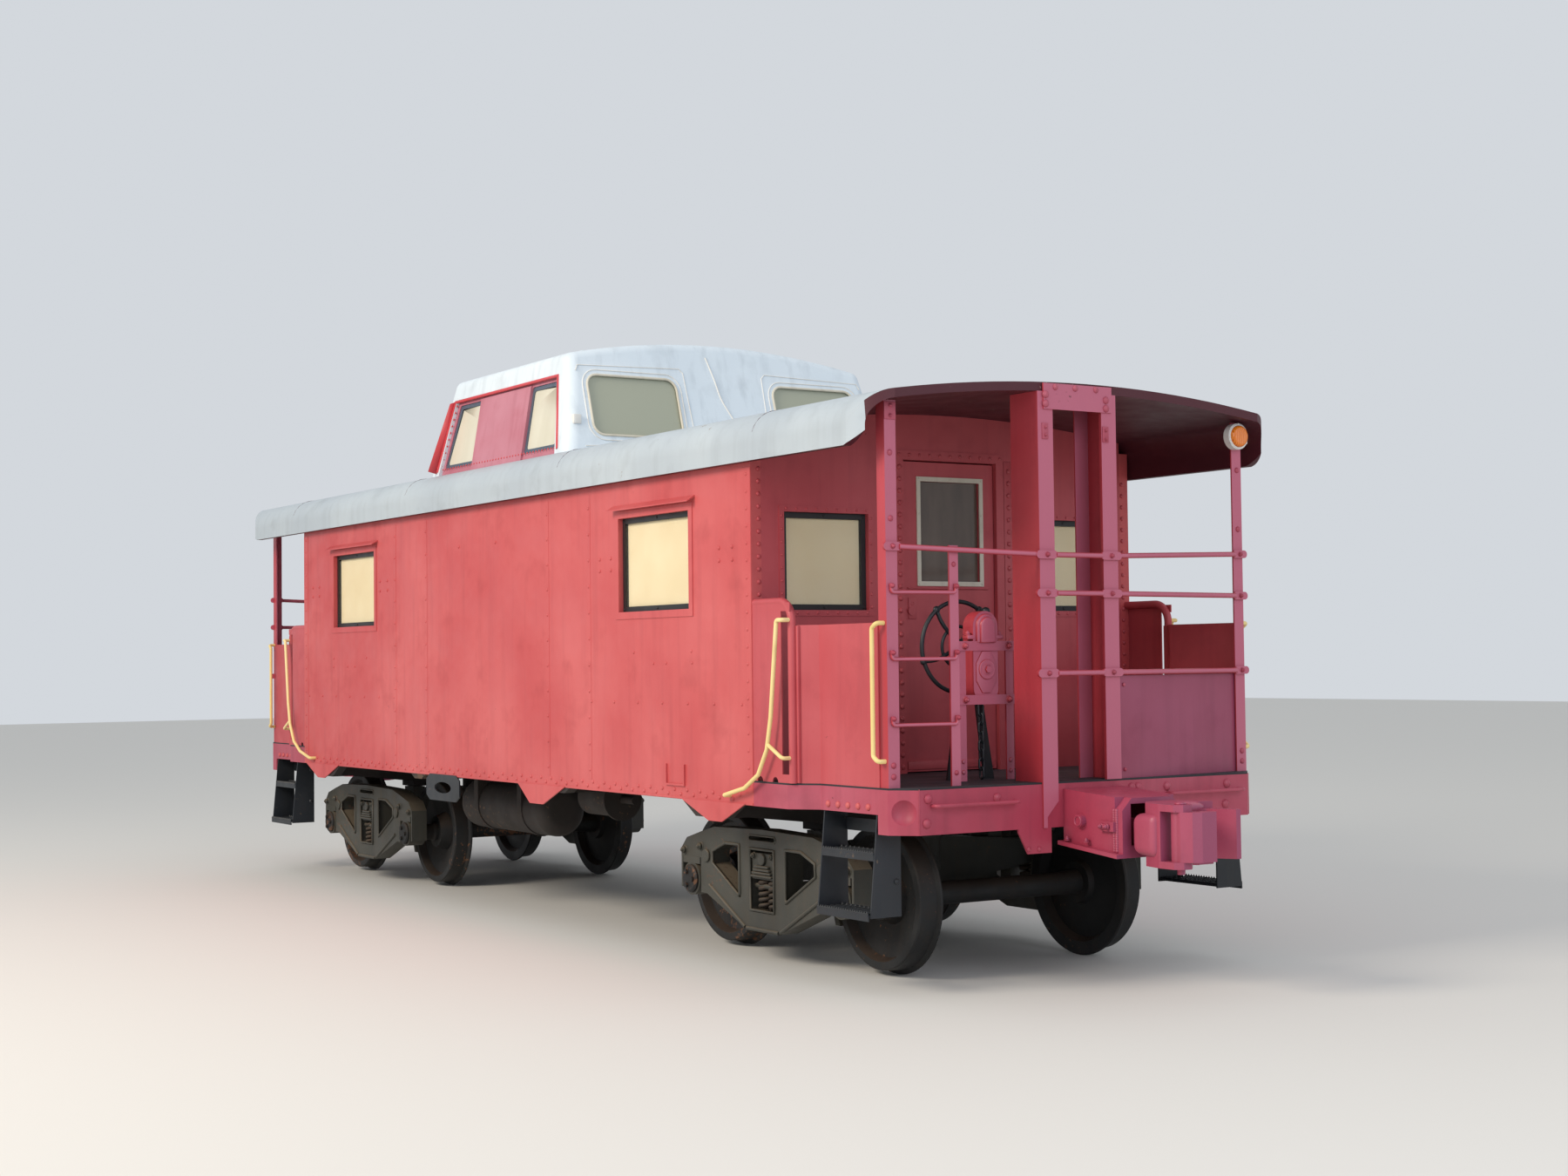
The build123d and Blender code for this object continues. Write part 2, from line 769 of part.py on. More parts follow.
# Side walls with their windows, surrounds and sheet pockets
shoulder_line = roof_half_width - shoulder_radius
shoulder_height = crown_height(shoulder_line, shoulder_radius)
inner_shoulder = shoulder_radius - roof_thickness
wall_top = shoulder_height + sqrt(inner_shoulder**2 - (body_half_width - shoulder_line) ** 2) - seat
hood_rise = 42.0
hood_overhang = 30.0
hood_reach = 55.0
hood_drop = 34.0
hood_sheet = 6.0
card_centre = 2765.0
card_height = 1130.0
card_length = 230.0
card_width = 130.0
card_rim = 12.0
with BuildPart() as side_wall:
    wall_face = Plane.XZ.offset(wall_inner)
    with BuildSketch(wall_face):
        with Locations((0, (wall_top + sill_bottom) / 2)):
            Rectangle(2 * body_half_length, wall_top - sill_bottom)
    extrude(amount=wall_thickness)
    window_places = [
        (side_window_centre, side_window_sill + side_window_height / 2),
        (-side_window_centre, side_window_sill + side_window_height / 2),
    ]
    with BuildSketch(Plane.XZ.offset(body_half_width)):
        with Locations(*window_places):
            Rectangle(
                side_window_width + 2 * side_surround,
                side_window_height + 2 * side_surround,
            )
    extrude(amount=surround_proud)
    # Sloping hood over each window.
    hood_top = side_window_sill + side_window_height + side_surround + hood_rise
    hood_length = side_window_width + 2 * side_surround + 2 * hood_overhang
    for centre in (side_window_centre, -side_window_centre):
        with BuildSketch(Plane.YZ.offset(centre - hood_length / 2)):
            with BuildLine():
                Polyline(
                    (-body_half_width, hood_top),
                    (-body_half_width - hood_reach, hood_top - hood_drop),
                    (-body_half_width - hood_reach, hood_top - hood_drop - hood_sheet),
                    (-body_half_width, hood_top - 2 * hood_sheet),
                    close=True,
                )
            make_face()
        extrude(amount=hood_length)
    # Pocket for a route card low on the side, a strip round three edges.
    with BuildSketch(Plane.XZ.offset(body_half_width)):
        with Locations((card_centre, card_height)):
            Rectangle(card_length, card_width)
            with Locations((0, card_rim)):
                Rectangle(card_length - 2 * card_rim, card_width, mode=Mode.SUBTRACT)
    extrude(amount=2 * surround_proud)
    with BuildSketch(wall_face):
        with Locations(*window_places):
            Rectangle(side_window_width, side_window_height)
    extrude(amount=2 * wall_thickness, mode=Mode.SUBTRACT)
save(side_wall, "side_wall_ladder_side")
with BuildPart() as other_wall:
    add(turned(side_wall.part))
save(other_wall, "side_wall_far_side")

# End walls, shaped to the underside of the roof
door_hinge_gap = 5.0
leaf_width = 50.0
hinge_y = door_opening_width / 2
fixed_leaf_edge = hinge_y - door_hinge_gap + seat
with BuildPart() as end_wall:
    wall_section = roof_outline(roof_thickness + seat, deck_top)
    extrude(wall_section.moved(Location((end_wall_inner, 0, 0))), amount=wall_thickness)
    for side in (1, -1):
        with BuildSketch(Plane.XZ.offset(side * (wall_inner - seat))):
            with Locations((body_half_length, 2200)):
                Rectangle(4 * wall_thickness, 2600)
        extrude(amount=side * 200, mode=Mode.SUBTRACT)
    end_window_places = [
        (end_window_centre, end_window_sill + end_window_height / 2),
        (-end_window_centre, end_window_sill + end_window_height / 2),
    ]
    with BuildSketch(Plane.YZ.offset(body_half_length)):
        with Locations(*end_window_places):
            Rectangle(
                end_window_width + 2 * end_surround,
                end_window_height + 2 * end_surround,
            )
        with Locations((0, (deck_top + door_opening_top + door_surround) / 2)):
            Rectangle(
                door_opening_width + 2 * door_surround,
                door_opening_top + door_surround - deck_top,
            )
    extrude(amount=surround_proud)
    with BuildSketch(Plane.YZ.offset(end_wall_inner)):
        with Locations(*end_window_places):
            Rectangle(end_window_width, end_window_height)
        with Locations((0, (deck_top + door_opening_top) / 2)):
            Rectangle(door_opening_width, door_opening_top - deck_top)
    extrude(amount=2 * wall_thickness, mode=Mode.SUBTRACT)
    # Fixed leaves of the door's hinges, on the wall's inner face.
    for height in hinge_heights:
        with BuildSketch(Plane.XY.offset(height)):
            with Locations((end_wall_inner - hinge_leaf / 2, fixed_leaf_edge + leaf_width / 2)):
                Rectangle(hinge_leaf, leaf_width)
        extrude(amount=hinge_length)
save(end_wall, "end_wall_near")
with BuildPart() as far_end_wall:
    add(turned(end_wall.part))
save(far_end_wall, "end_wall_far")


def rod(points, radius, bend=0.0):
    """Round bar through the given points, with bends of one radius."""
    with BuildPart() as bar:
        with BuildLine() as route:
            if len(points) > 2:
                FilletPolyline(*points, radius=bend)
            else:
                Line(*points)
        start = Vector(*points[0])
        heading = Vector(*points[1]) - start
        with BuildSketch(Plane(origin=start, z_dir=heading)):
            Circle(radius)
        sweep(path=route.line)
    return bar.part


def at_four_corners(shape):
    """A platform piece of the +X, -Y corner and its three fellows."""
    other = mirror(shape, about=Plane.XZ, mode=Mode.PRIVATE)
    return [shape, other, turned(shape), turned(other)]


# Sashes, glass and drawn blinds of the eight body windows
side_window = (side_window_width, side_window_height, side_window_sill, body_half_width)
end_window = (end_window_width, end_window_height, end_window_sill, body_half_length)
window_rows = [
    # facing, centre along the wall, then width, height, sill and outer face
    ("side", side_window_centre, *side_window),
    ("side", -side_window_centre, *side_window),
    ("end", end_window_centre, *end_window),
    ("end", -end_window_centre, *end_window),
]
sash_face = 28.0
glass_face = 40.0
blind_face = 50.0
blind_thickness = 4.0


def window_layer(inset, border, face, thickness):
    """One layer of every body window, face deep under the wall's outer skin."""
    with BuildPart() as layer:
        for facing, centre, width, height, sill, outside in window_rows:
            middle = sill + height / 2
            for way in (1, -1):
                depth = way * (outside - face)
                if facing == "side":
                    plane = Plane(origin=(centre, depth, middle), x_dir=(1, 0, 0), z_dir=(0, -way, 0))
                else:
                    plane = Plane(origin=(depth, centre, middle), x_dir=(0, 1, 0), z_dir=(-way, 0, 0))
                with BuildSketch(plane):
                    Rectangle(width - 2 * inset, height - 2 * inset)
                    if border:
                        Rectangle(
                            width - 2 * inset - 2 * border,
                            height - 2 * inset - 2 * border,
                            mode=Mode.SUBTRACT,
                        )
                extrude(amount=thickness)
    return layer


save(window_layer(seat, sash_width, sash_face, sash_depth), "window_sashes")
pane_inset = sash_width + 2 * seat
save(window_layer(pane_inset, 0, glass_face, pane_thickness), "window_glass")
save(window_layer(pane_inset, 0, blind_face, blind_thickness), "window_blinds")

# Roof, one arched skin with rounded eaves, cut in over the platforms' corners
roof_cut_length = 280.0
roof_cut_width = 205.0
roof_cut_rise = 235.0
cupola_well_length = 2060.0
cupola_well_width = 2440.0
with BuildPart() as roof:
    outer_section = roof_outline(0, eave_bottom)
    extrude(outer_section.moved(Location((-roof_half_length, 0, 0))), amount=2 * roof_half_length)
    inner_section = roof_outline(roof_thickness, eave_bottom)
    extrude(
        inner_section.moved(Location((-roof_half_length, 0, 0))),
        amount=2 * roof_half_length,
        mode=Mode.SUBTRACT,
    )
    cut_start = roof_half_length - roof_cut_length
    for way in (1, -1):
        for side in (1, -1):
            with BuildSketch(Plane.XY.offset(eave_bottom - 10)):
                with BuildLine():
                    corner_a = (way * cut_start, side * (roof_half_width + 10))
                    corner_b = (way * (roof_half_length + 10), side * (roof_half_width - roof_cut_width))
                    ThreePointArc(
                        corner_a,
                        (way * (roof_half_length - 70), side * (roof_half_width - 75)),
                        corner_b,
                    )
                    Polyline(corner_b, (corner_b[0], corner_a[1]), corner_a)
                make_face()
            extrude(amount=600, mode=Mode.SUBTRACT)
        # The eaves' lower edge sweeps up towards the end of the roof.
        with BuildSketch(Plane.XZ):
            with BuildLine():
                low = (way * cut_start, eave_bottom - 10)
                high = (way * (roof_half_length + 10), eave_bottom + roof_cut_rise)
                ThreePointArc(low, (way * (roof_half_length - 90), eave_bottom + 80), high)
                Polyline(high, (high[0], low[1]), low)
            make_face()
        extrude(amount=2 * roof_half_width, both=True, mode=Mode.SUBTRACT)
    with BuildSketch(Plane.XY.offset(eave_bottom)):
        Rectangle(cupola_well_length, cupola_well_width)
    extrude(amount=600, mode=Mode.SUBTRACT)
save(roof, "roof")

# Cupola
cupola_height = 745.0
cupola_side_drop = 132.0
cupola_crown = roof_crown + cupola_height
cupola_foot = roof_crown - 355
cupola_top = cupola_crown + 10
cupola_foot_half_length = 1246.0
cupola_foot_half_width = 1396.0
cupola_top_half_length = 905.0
cupola_top_half_width = 1208.0
cupola_side_height = cupola_crown - cupola_side_drop
cupola_corner = 90.0
cupola_wall = 42.0
cupola_rise = cupola_top - cupola_foot
end_slope = (cupola_foot_half_length - cupola_top_half_length) / cupola_rise
side_slope = (cupola_foot_half_width - cupola_top_half_width) / cupola_rise
side_bay_foot = 1020.0
side_bay_top = 850.0
side_bay_sill = roof_crown - 215
side_bay_head = cupola_crown - 285
side_skin = 26.0
side_panel_thickness = 34.0
slide_half = 420.0
slide_proud = 14.0
side_light_sill = roof_crown - 55
side_light_head = side_bay_head - 35
end_light_centre = 760.0
end_light_width = 720.0
end_light_sill = roof_crown + 25
end_light_head = cupola_crown - 280
end_light_height = end_light_head - end_light_sill
end_light_middle = (end_light_head + end_light_sill) / 2
end_light_corner = 85.0
end_pane_depth = 13.0


def cupola_block(depth):
    """Solid of the cupola, depth under its skin, down to its foot in the roof."""
    along = depth * sqrt(1 + end_slope**2)
    across = depth * sqrt(1 + side_slope**2)
    corner = cupola_corner - depth * 0.8
    with BuildPart() as block:
        with BuildSketch(Plane.XY.offset(cupola_foot)):
            RectangleRounded(
                2 * (cupola_foot_half_length - along),
                2 * (cupola_foot_half_width - across),
                corner,
            )
        with BuildSketch(Plane.XY.offset(cupola_top)):
            RectangleRounded(
                2 * (cupola_top_half_length - along),
                2 * (cupola_top_half_width - across),
                corner,
            )
        loft(ruled=True)
        with BuildSketch(Plane.YZ):
            with BuildLine():
                half = cupola_foot_half_width + 50
                sag = (cupola_crown - cupola_side_height) * (half / cupola_top_half_width) ** 2
                side_z = cupola_crown - depth - sag
                ThreePointArc((-half, side_z), (0, cupola_crown - depth), (half, side_z))
                Polyline((half, side_z), (half, cupola_foot), (-half, cupola_foot), (-half, side_z))
            make_face()
        extrude(amount=2 * cupola_foot_half_length, both=True, mode=Mode.INTERSECT)
        rim = block.edges().filter_by_position(Axis.Z, cupola_side_height - 150, cupola_top)
        fillet(rim.filter_by(lambda edge: edge.center().Z > cupola_side_height - 60), 70 - depth * 0.8)
    return block.part


def roof_volume(clearance):
    """Everything under the roof's outer skin, raised by the clearance."""
    with BuildPart() as volume:
        section = roof_outline(-clearance, cupola_foot - 50)
        extrude(section.moved(Location((-2000, 0, 0))), amount=4000)
    return volume.part


def side_bay(spare):
    """Prism across the car through both side bays of the cupola."""
    with BuildPart() as bay:
        with BuildSketch(Plane.XZ):
            with BuildLine():
                Polyline(
                    (-side_bay_foot + spare, side_bay_sill - 60),
                    (side_bay_foot - spare, side_bay_sill - 60),
                    (side_bay_top - spare, side_bay_head - spare),
                    (-side_bay_top + spare, side_bay_head - spare),
                    close=True,
                )
            make_face()
        extrude(amount=1600, both=True)
    return bay.part


def side_lights(spare):
    """Prisms across the car through the slanted windows of the side bays."""
    edge = 44 + spare
    lean = (side_bay_foot - side_bay_top) / (side_bay_head - side_bay_sill)
    low = side_bay_foot - lean * (side_light_sill - side_bay_sill) - edge
    high = side_bay_foot - lean * (side_light_head - side_bay_sill) - edge
    with BuildPart() as lights:
        for way in (1, -1):
            with BuildSketch(Plane.XZ) as light:
                with BuildLine():
                    Polyline(
                        (way * (slide_half + spare), side_light_sill + spare),
                        (way * low, side_light_sill + spare),
                        (way * high, side_light_head - spare),
                        (way * (slide_half + spare), side_light_head - spare),
                        close=True,
                    )
                make_face()
                fillet(light.vertices(), 22)
            extrude(amount=1600, both=True)
    return lights.part


def end_lights(spare):
    """Prisms along the car through the rounded windows of the cupola's ends."""
    with BuildPart() as lights:
        with BuildSketch(Plane.YZ):
            with Locations((end_light_centre, end_light_middle), (-end_light_centre, end_light_middle)):
                RectangleRounded(
                    end_light_width - 2 * spare,
                    end_light_height - 2 * spare,
                    end_light_corner - spare,
                )
        extrude(amount=1600, both=True)
    return lights.part


roof_cover = roof_volume(seat)
with BuildPart() as cupola_shell:
    add(cupola_block(0))
    add(cupola_block(cupola_wall), mode=Mode.SUBTRACT)
    add(roof_cover, mode=Mode.SUBTRACT)
    add(side_bay(0), mode=Mode.SUBTRACT)
    add(end_lights(0), mode=Mode.SUBTRACT)
save(cupola_shell, "cupola_shell")

with BuildPart() as cupola_sides:
    add(cupola_block(side_skin))
    add(cupola_block(side_skin + side_panel_thickness), mode=Mode.SUBTRACT)
    add(side_bay(seat), mode=Mode.INTERSECT)
    with BuildPart(mode=Mode.PRIVATE) as slides:
        add(cupola_block(side_skin - slide_proud))
        add(cupola_block(side_skin + side_panel_thickness / 2), mode=Mode.SUBTRACT)
        with BuildSketch(Plane.XZ):
            with Locations((0, (side_bay_sill + side_bay_head) / 2)):
                Rectangle(2 * slide_half, side_bay_head - side_bay_sill - 50)
        extrude(amount=1600, both=True, mode=Mode.INTERSECT)
    add(slides.part)
    add(roof_cover, mode=Mode.SUBTRACT)
    add(side_lights(0), mode=Mode.SUBTRACT)
save(cupola_sides, "cupola_sides")

with BuildPart() as cupola_sashes:
    add(cupola_block(side_skin + 8))
    add(cupola_block(side_skin + 26), mode=Mode.SUBTRACT)
    add(side_lights(seat), mode=Mode.INTERSECT)
    add(side_lights(30), mode=Mode.SUBTRACT)
save(cupola_sashes, "cupola_sashes")

with BuildPart() as cupola_glass:
    add(cupola_block(side_skin + 14))
    add(cupola_block(side_skin + 20), mode=Mode.SUBTRACT)
    add(side_lights(30 + seat), mode=Mode.INTERSECT)
    with BuildPart(mode=Mode.PRIVATE) as end_glass:
        for way in (1, -1):
            outer_foot = way * (cupola_foot_half_length - end_pane_depth)
            outer_top = way * (cupola_top_half_length - end_pane_depth)
            with BuildSketch(Plane.XZ):
                with BuildLine():
                    Polyline(
                        (outer_foot, cupola_foot),
                        (outer_top, cupola_top),
                        (outer_top - way * pane_thickness, cupola_top),
                        (outer_foot - way * pane_thickness, cupola_foot),
                        close=True,
                    )
                make_face()
            extrude(amount=cupola_foot_half_width, both=True)
        add(end_lights(seat), mode=Mode.INTERSECT)
    add(end_glass.part)
save(cupola_glass, "cupola_glass")

# Doors, hinged away from the ladder side and swinging in
door_thickness = 44.0
door_latch_gap = 9.0
door_foot_gap = 8.0
door_inset = 24.0
door_window_width = 451.0
door_window_centre = 13.0
door_window_bottom = 2290.0
door_window_height = 610.0
door_trim = 28.0
hinge_pin_radius = 9.0
knob_height = 2110.0
door_outer = body_half_length - door_inset
hinge_x = door_outer - door_thickness - 16
door_hinge_edge = hinge_y - door_hinge_gap
door_latch_edge = door_latch_gap - door_opening_width / 2
door_window_middle = (door_window_centre, door_window_bottom + door_window_height / 2)
with BuildPart() as door:
    with BuildSketch(Plane.YZ.offset(door_outer)):
        with Locations(((door_hinge_edge + door_latch_edge) / 2, (deck_top + door_opening_top) / 2)):
            Rectangle(door_hinge_edge - door_latch_edge, door_opening_top - deck_top - 2 * door_foot_gap)
        with Locations(door_window_middle):
            Rectangle(door_window_width, door_window_height, mode=Mode.SUBTRACT)
    extrude(amount=-door_thickness)
    with BuildSketch(Plane.YZ.offset(door_outer)):
        with Locations((door_latch_edge + 55, knob_height)):
            Circle(26)
    extrude(amount=14)
    for height in hinge_heights:
        with BuildSketch(Plane.XY.offset(height)):
            with Locations(((hinge_x + door_outer - door_thickness) / 2, door_hinge_edge - 30)):
                Rectangle(door_outer - door_thickness - hinge_x + 2, 50)
            with Locations((hinge_x, hinge_y - 14)):
                Circle(hinge_pin_radius)
        extrude(amount=hinge_length)
with BuildPart() as door_trim_piece:
    with BuildSketch(Plane.YZ.offset(door_outer)):
        with Locations(door_window_middle):
            Rectangle(door_window_width + 2 * door_trim, door_window_height + 2 * door_trim)
            Rectangle(door_window_width, door_window_height, mode=Mode.SUBTRACT)
    extrude(amount=8)
with BuildPart() as door_glass:
    with BuildSketch(Plane.YZ.offset(door_outer - 18)):
        with Locations(door_window_middle):
            Rectangle(door_window_width - 2 * seat, door_window_height - 2 * seat)
    extrude(amount=-pane_thickness)
for end_name, place in [("near", lambda shape: shape), ("far", turned)]:
    for piece_name, piece in [
        ("door", door),
        ("door_window_trim", door_trim_piece),
        ("door_window_glass", door_glass),
    ]:
        with BuildPart() as placed:
            add(place(piece.part))
        save(placed, f"{piece_name}_{end_name}")

# Centre posts of the platforms, channels that open towards each other
# The pair stands a little to the ladder's side of the middle.
post_centre = -76.0
post_outer = 285.0
post_flange = 108.0
post_depth = 230.0
post_wall = 10.0
post_taper_top = 1025.0
post_taper_bottom = 940.0
post_foot_width = 28.0
header_half = 248.0
header_bottom = 3198.0
header_height = 145.0
post_front = platform_half_length + post_wall
near_edge = post_centre - post_outer
far_edge = post_centre + post_outer
post_tops = {
    side: crown_height(post_centre + side * post_outer, roof_thickness) - seat
    for side in (1, -1)
}
with BuildPart() as end_post_pair:
    for side, post_top in post_tops.items():
        flange_middle = post_centre + side * (post_outer - post_flange / 2)
        with BuildSketch(Plane.XY.offset(deck_top)):
            with Locations((post_front - post_wall - post_depth / 2, flange_middle)):
                Rectangle(post_depth, post_flange)
            with Locations((post_front - post_wall - post_depth / 2, flange_middle - side * post_wall)):
                Rectangle(post_depth - 2 * post_wall, post_flange, mode=Mode.SUBTRACT)
        extrude(amount=post_top - deck_top)
        with BuildSketch(Plane.YZ.offset(platform_half_length)):
            with Locations((flange_middle, (post_top + deck_top) / 2)):
                Rectangle(post_flange, post_top - deck_top)
        extrude(amount=post_wall)
    # The ladder-side post goes on down over the end sill and tapers.
    with BuildSketch(Plane.YZ.offset(platform_half_length)):
        with BuildLine():
            Polyline(
                (near_edge, deck_top),
                (near_edge + post_flange, deck_top),
                (near_edge + post_flange, post_taper_top),
                (near_edge + post_foot_width, post_taper_bottom),
                (near_edge + post_foot_width, end_sill_bottom),
                (near_edge, end_sill_bottom),
                close=True,
            )
        make_face()
    extrude(amount=post_wall)
    with BuildSketch(Plane.YZ.offset(post_front)):
        with Locations((post_centre, header_bottom + header_height / 2)):
            Rectangle(2 * header_half, header_height)
    extrude(amount=post_wall)
with BuildPart() as end_posts:
    add(end_post_pair.part)
    add(turned(end_post_pair.part))
save(end_posts, "end_posts")

# Corner posts, rolled angles
corner_leg = 75.0
corner_wall = 10.0
corner_x = platform_half_length - corner_cut
corner_y = platform_half_width - 8
corner_top = crown_height(corner_y, roof_thickness) - seat
with BuildPart() as corner_post:
    with BuildSketch(Plane.XY.offset(deck_top)):
        with Locations((corner_x - corner_leg / 2, -corner_y + corner_wall / 2)):
            Rectangle(corner_leg, corner_wall)
        with Locations((corner_x - corner_wall / 2, -corner_y + corner_leg / 2)):
            Rectangle(corner_wall, corner_leg)
    extrude(amount=corner_top - deck_top)
with BuildPart() as corner_posts:
    for copy in at_four_corners(corner_post.part):
        add(copy)
save(corner_posts, "corner_posts")

# Guard rails with flat eyes, ladder and its rungs
rail_radius = 15.0
eye_thickness = 16.0
eye_length = 150.0
corner_eye_length = 116.0
eye_height = 46.0
rail_heights = [2423.0, 2175.0, 1731.0]
top_rail_dip = 35.0
rail_middles = [post_centre - 243, post_centre + 225]
rail_reach = corner_y - 35
rail_front = post_front + eye_thickness / 2
rail_corner = corner_x + eye_thickness / 2


def rail_x(y):
    """Where the guard rail runs, from the corner posts to the centre posts."""
    middle = abs(rail_middles[0] if y < 0 else rail_middles[1])
    share = max(0.0, (abs(y) - middle) / (rail_reach - middle))
    return rail_front + (rail_corner - rail_front) * share


def rail_z(y, row):
    """Height of a rail at y: the top one is lower between the centre posts."""
    if row > 0:
        return rail_heights[row]
    middle = abs(rail_middles[0] if y < 0 else rail_middles[1])
    share = max(0.0, (abs(y) - middle) / (rail_reach - middle))
    return rail_heights[0] - top_rail_dip * (1 - share)


def rail_point(y, row):
    """A point on the middle line of a rail."""
    return (rail_x(y), y, rail_z(y, row))


def rail_eye(y, row):
    """Flat eye of a rail where it is bolted to a post."""
    face = Plane(origin=rail_point(y, row), x_dir=(0, 1, 0), z_dir=(1, 0, 0))
    length = eye_length if y in rail_middles else corner_eye_length
    with BuildPart() as eye:
        with BuildSketch(face):
            SlotOverall(length, eye_height)
        extrude(amount=eye_thickness / 2, both=True)
    return eye.part


with BuildPart() as rail_end:
    post_clear = eye_length / 2 - 8
    corner_clear = corner_y - corner_leg - 3
    low_middle, high_middle = rail_middles
    for row in range(len(rail_heights)):
        stretches = [(low_middle + post_clear, high_middle - post_clear)]
        stretches.append((high_middle + post_clear, corner_clear))
        eyes = [low_middle, high_middle, rail_reach]
        if row == 0:
            stretches.append((-corner_clear, low_middle - post_clear))
            eyes.append(-rail_reach)
        for low, high in stretches:
            add(rod([rail_point(low, row), rail_point(high, row)], rail_radius))
        for y in eyes:
            add(rail_eye(y, row))
with BuildPart() as guard_rails:
    add(rail_end.part)
    add(turned(rail_end.part))
save(guard_rails, "guard_rails")

stile_line = -889.0
stile_width = 60.0
stile_thickness = 12.0
rung_radius = 10.0
rung_heights = [2177.0, 1818.0, 1465.0]
with BuildPart() as ladder_end:
    stile_x = rail_x(stile_line) - rail_radius - stile_thickness / 2 - 4.5
    with BuildSketch(Plane.XY.offset(deck_top)):
        with Locations((stile_x, stile_line)):
            Rectangle(stile_thickness, stile_width)
    extrude(amount=rail_z(stile_line, 0) + 24 - deck_top)
    for height in rung_heights:
        low_x = corner_x + rung_radius
        high_x = stile_x + stile_thickness / 2 + rung_radius
        add(
            rod(
                [
                    (low_x, -rail_reach - 8, height + 46),
                    (low_x, -rail_reach - 8, height),
                    (high_x, stile_line + 4, height),
                    (high_x, stile_line + 4, height + 46),
                ],
                rung_radius,
                16,
            )
        )
with BuildPart() as ladders:
    add(ladder_end.part)
    add(turned(ladder_end.part))
save(ladders, "ladders")

# Sheet panels: quarter panels by the body, step closures and the end panel
tube_radius = 24.0
tube_line = body_half_length + 385
tube_y = -(body_half_width - tube_radius)
quarter_top = 2150.0
quarter_sheet_end = body_half_length + 305
closure_top = 2015.0
sheet = 8.0
scupper_radius = 30.0
with BuildPart() as quarter_panel:
    body_end = body_half_length + seat
    add(
        rod(
            [
                (body_end, tube_y, quarter_top),
                (tube_line, tube_y, quarter_top),
                (tube_line, tube_y, deck_top),
            ],
            tube_radius,
            115,
        )
    )
    with BuildSketch(Plane.XZ.offset(body_half_width - 2 - sheet)):
        with Locations(((body_end + quarter_sheet_end) / 2, (deck_top + quarter_top) / 2)):
            Rectangle(quarter_sheet_end - body_end, quarter_top - deck_top)
        with Locations((body_end + 70, deck_top), (body_end + 230, deck_top)):
            Circle(scupper_radius, mode=Mode.SUBTRACT)
    extrude(amount=sheet)
    with BuildSketch(Plane.XZ.offset(body_half_width - 2 - sheet)):
        strap_middle = (quarter_sheet_end + tube_line) / 2
        with Locations((strap_middle, deck_top + 24), (strap_middle, quarter_top - 30)):
            Rectangle(tube_line - quarter_sheet_end + 20, 48)
    extrude(amount=sheet)
with BuildPart() as quarter_panels:
    for copy in at_four_corners(quarter_panel.part):
        add(copy)
save(quarter_panels, "quarter_panels")

with BuildPart() as closure:
    closure_start = tube_line + tube_radius + seat
    with BuildSketch(Plane.XY.offset(deck_top)):
        with BuildLine():
            run = (body_half_width - platform_half_width) / (taper_end - taper_start)
            start_y = -(body_half_width - (closure_start - taper_start) * run)
            Polyline(
                (closure_start, start_y + 2),
                (taper_end, -platform_half_width + 2),
                (corner_x - corner_leg - seat, -platform_half_width + 2),
                (corner_x - corner_leg - seat, -platform_half_width + 2 + sheet),
                (taper_end + 4, -platform_half_width + 2 + sheet),
                (closure_start, start_y + 2 + sheet + 4),
                close=True,
            )
        make_face()
    extrude(amount=closure_top - deck_top)
with BuildPart() as step_closures:
    for copy in at_four_corners(closure.part):
        add(copy)
save(step_closures, "step_closures")

end_panel_top = 1712.0
with BuildPart() as end_panel:
    with BuildSketch(Plane.XY.offset(deck_top)):
        with BuildLine():
            Polyline(
                (platform_half_length - 12, far_edge + seat),
                (platform_half_length - 12 + sheet, far_edge + seat),
                (corner_x - 2 * corner_wall - 4, corner_y - corner_wall - seat),
                (corner_x - 2 * corner_wall - 4 - sheet, corner_y - corner_wall - seat),
                close=True,
            )
        make_face()
    extrude(amount=end_panel_top - deck_top)
with BuildPart() as end_panels:
    add(end_panel.part)
    add(turned(end_panel.part))
save(end_panels, "end_panels")

# Steps under the platforms, two treads between tapered side plates
step_start = body_half_length + 530
step_end = body_half_length + 1045
step_inner = 1160.0
step_top_outer = 1292.0
step_foot_outer = 1362.0
step_foot = 432.0
step_plate = 10.0
tread_heights = [448.0, 768.0]
with BuildPart() as step:
    for place in (step_start, step_end - step_plate):
        with BuildSketch(Plane.YZ.offset(place)):
            with BuildLine():
                Polyline(
                    (-step_inner, sill_bottom),
                    (-step_inner, step_foot),
                    (-step_foot_outer, step_foot),
                    (-step_top_outer - 18, sill_bottom),
                    close=True,
                )
            make_face()
        extrude(amount=step_plate)
    for height in tread_heights:
        share = (height - step_foot) / (sill_bottom - step_foot)
        reach = step_foot_outer + (step_top_outer - step_foot_outer) * share + 14
        with BuildSketch(Plane.XY.offset(height - 8)):
            with Locations(((step_start + step_end) / 2, -(step_inner + reach) / 2)):
                Rectangle(step_end - step_start - 2 * step_plate, reach - step_inner)
        extrude(amount=8)
        with BuildSketch(Plane.XY.offset(height - 32)):
            with Locations(((step_start + step_end) / 2, -reach + 4)):
                Rectangle(step_end - step_start - 2 * step_plate, 8)
        extrude(amount=32)
    with BuildSketch(Plane.XZ.offset(step_inner)):
        with Locations(((step_start + step_end) / 2, 905)):
            Rectangle(step_end - step_start - 2 * step_plate, 70)
    extrude(amount=8)
with BuildPart() as steps:
    for copy in at_four_corners(step.part):
        add(copy)
save(steps, "steps")

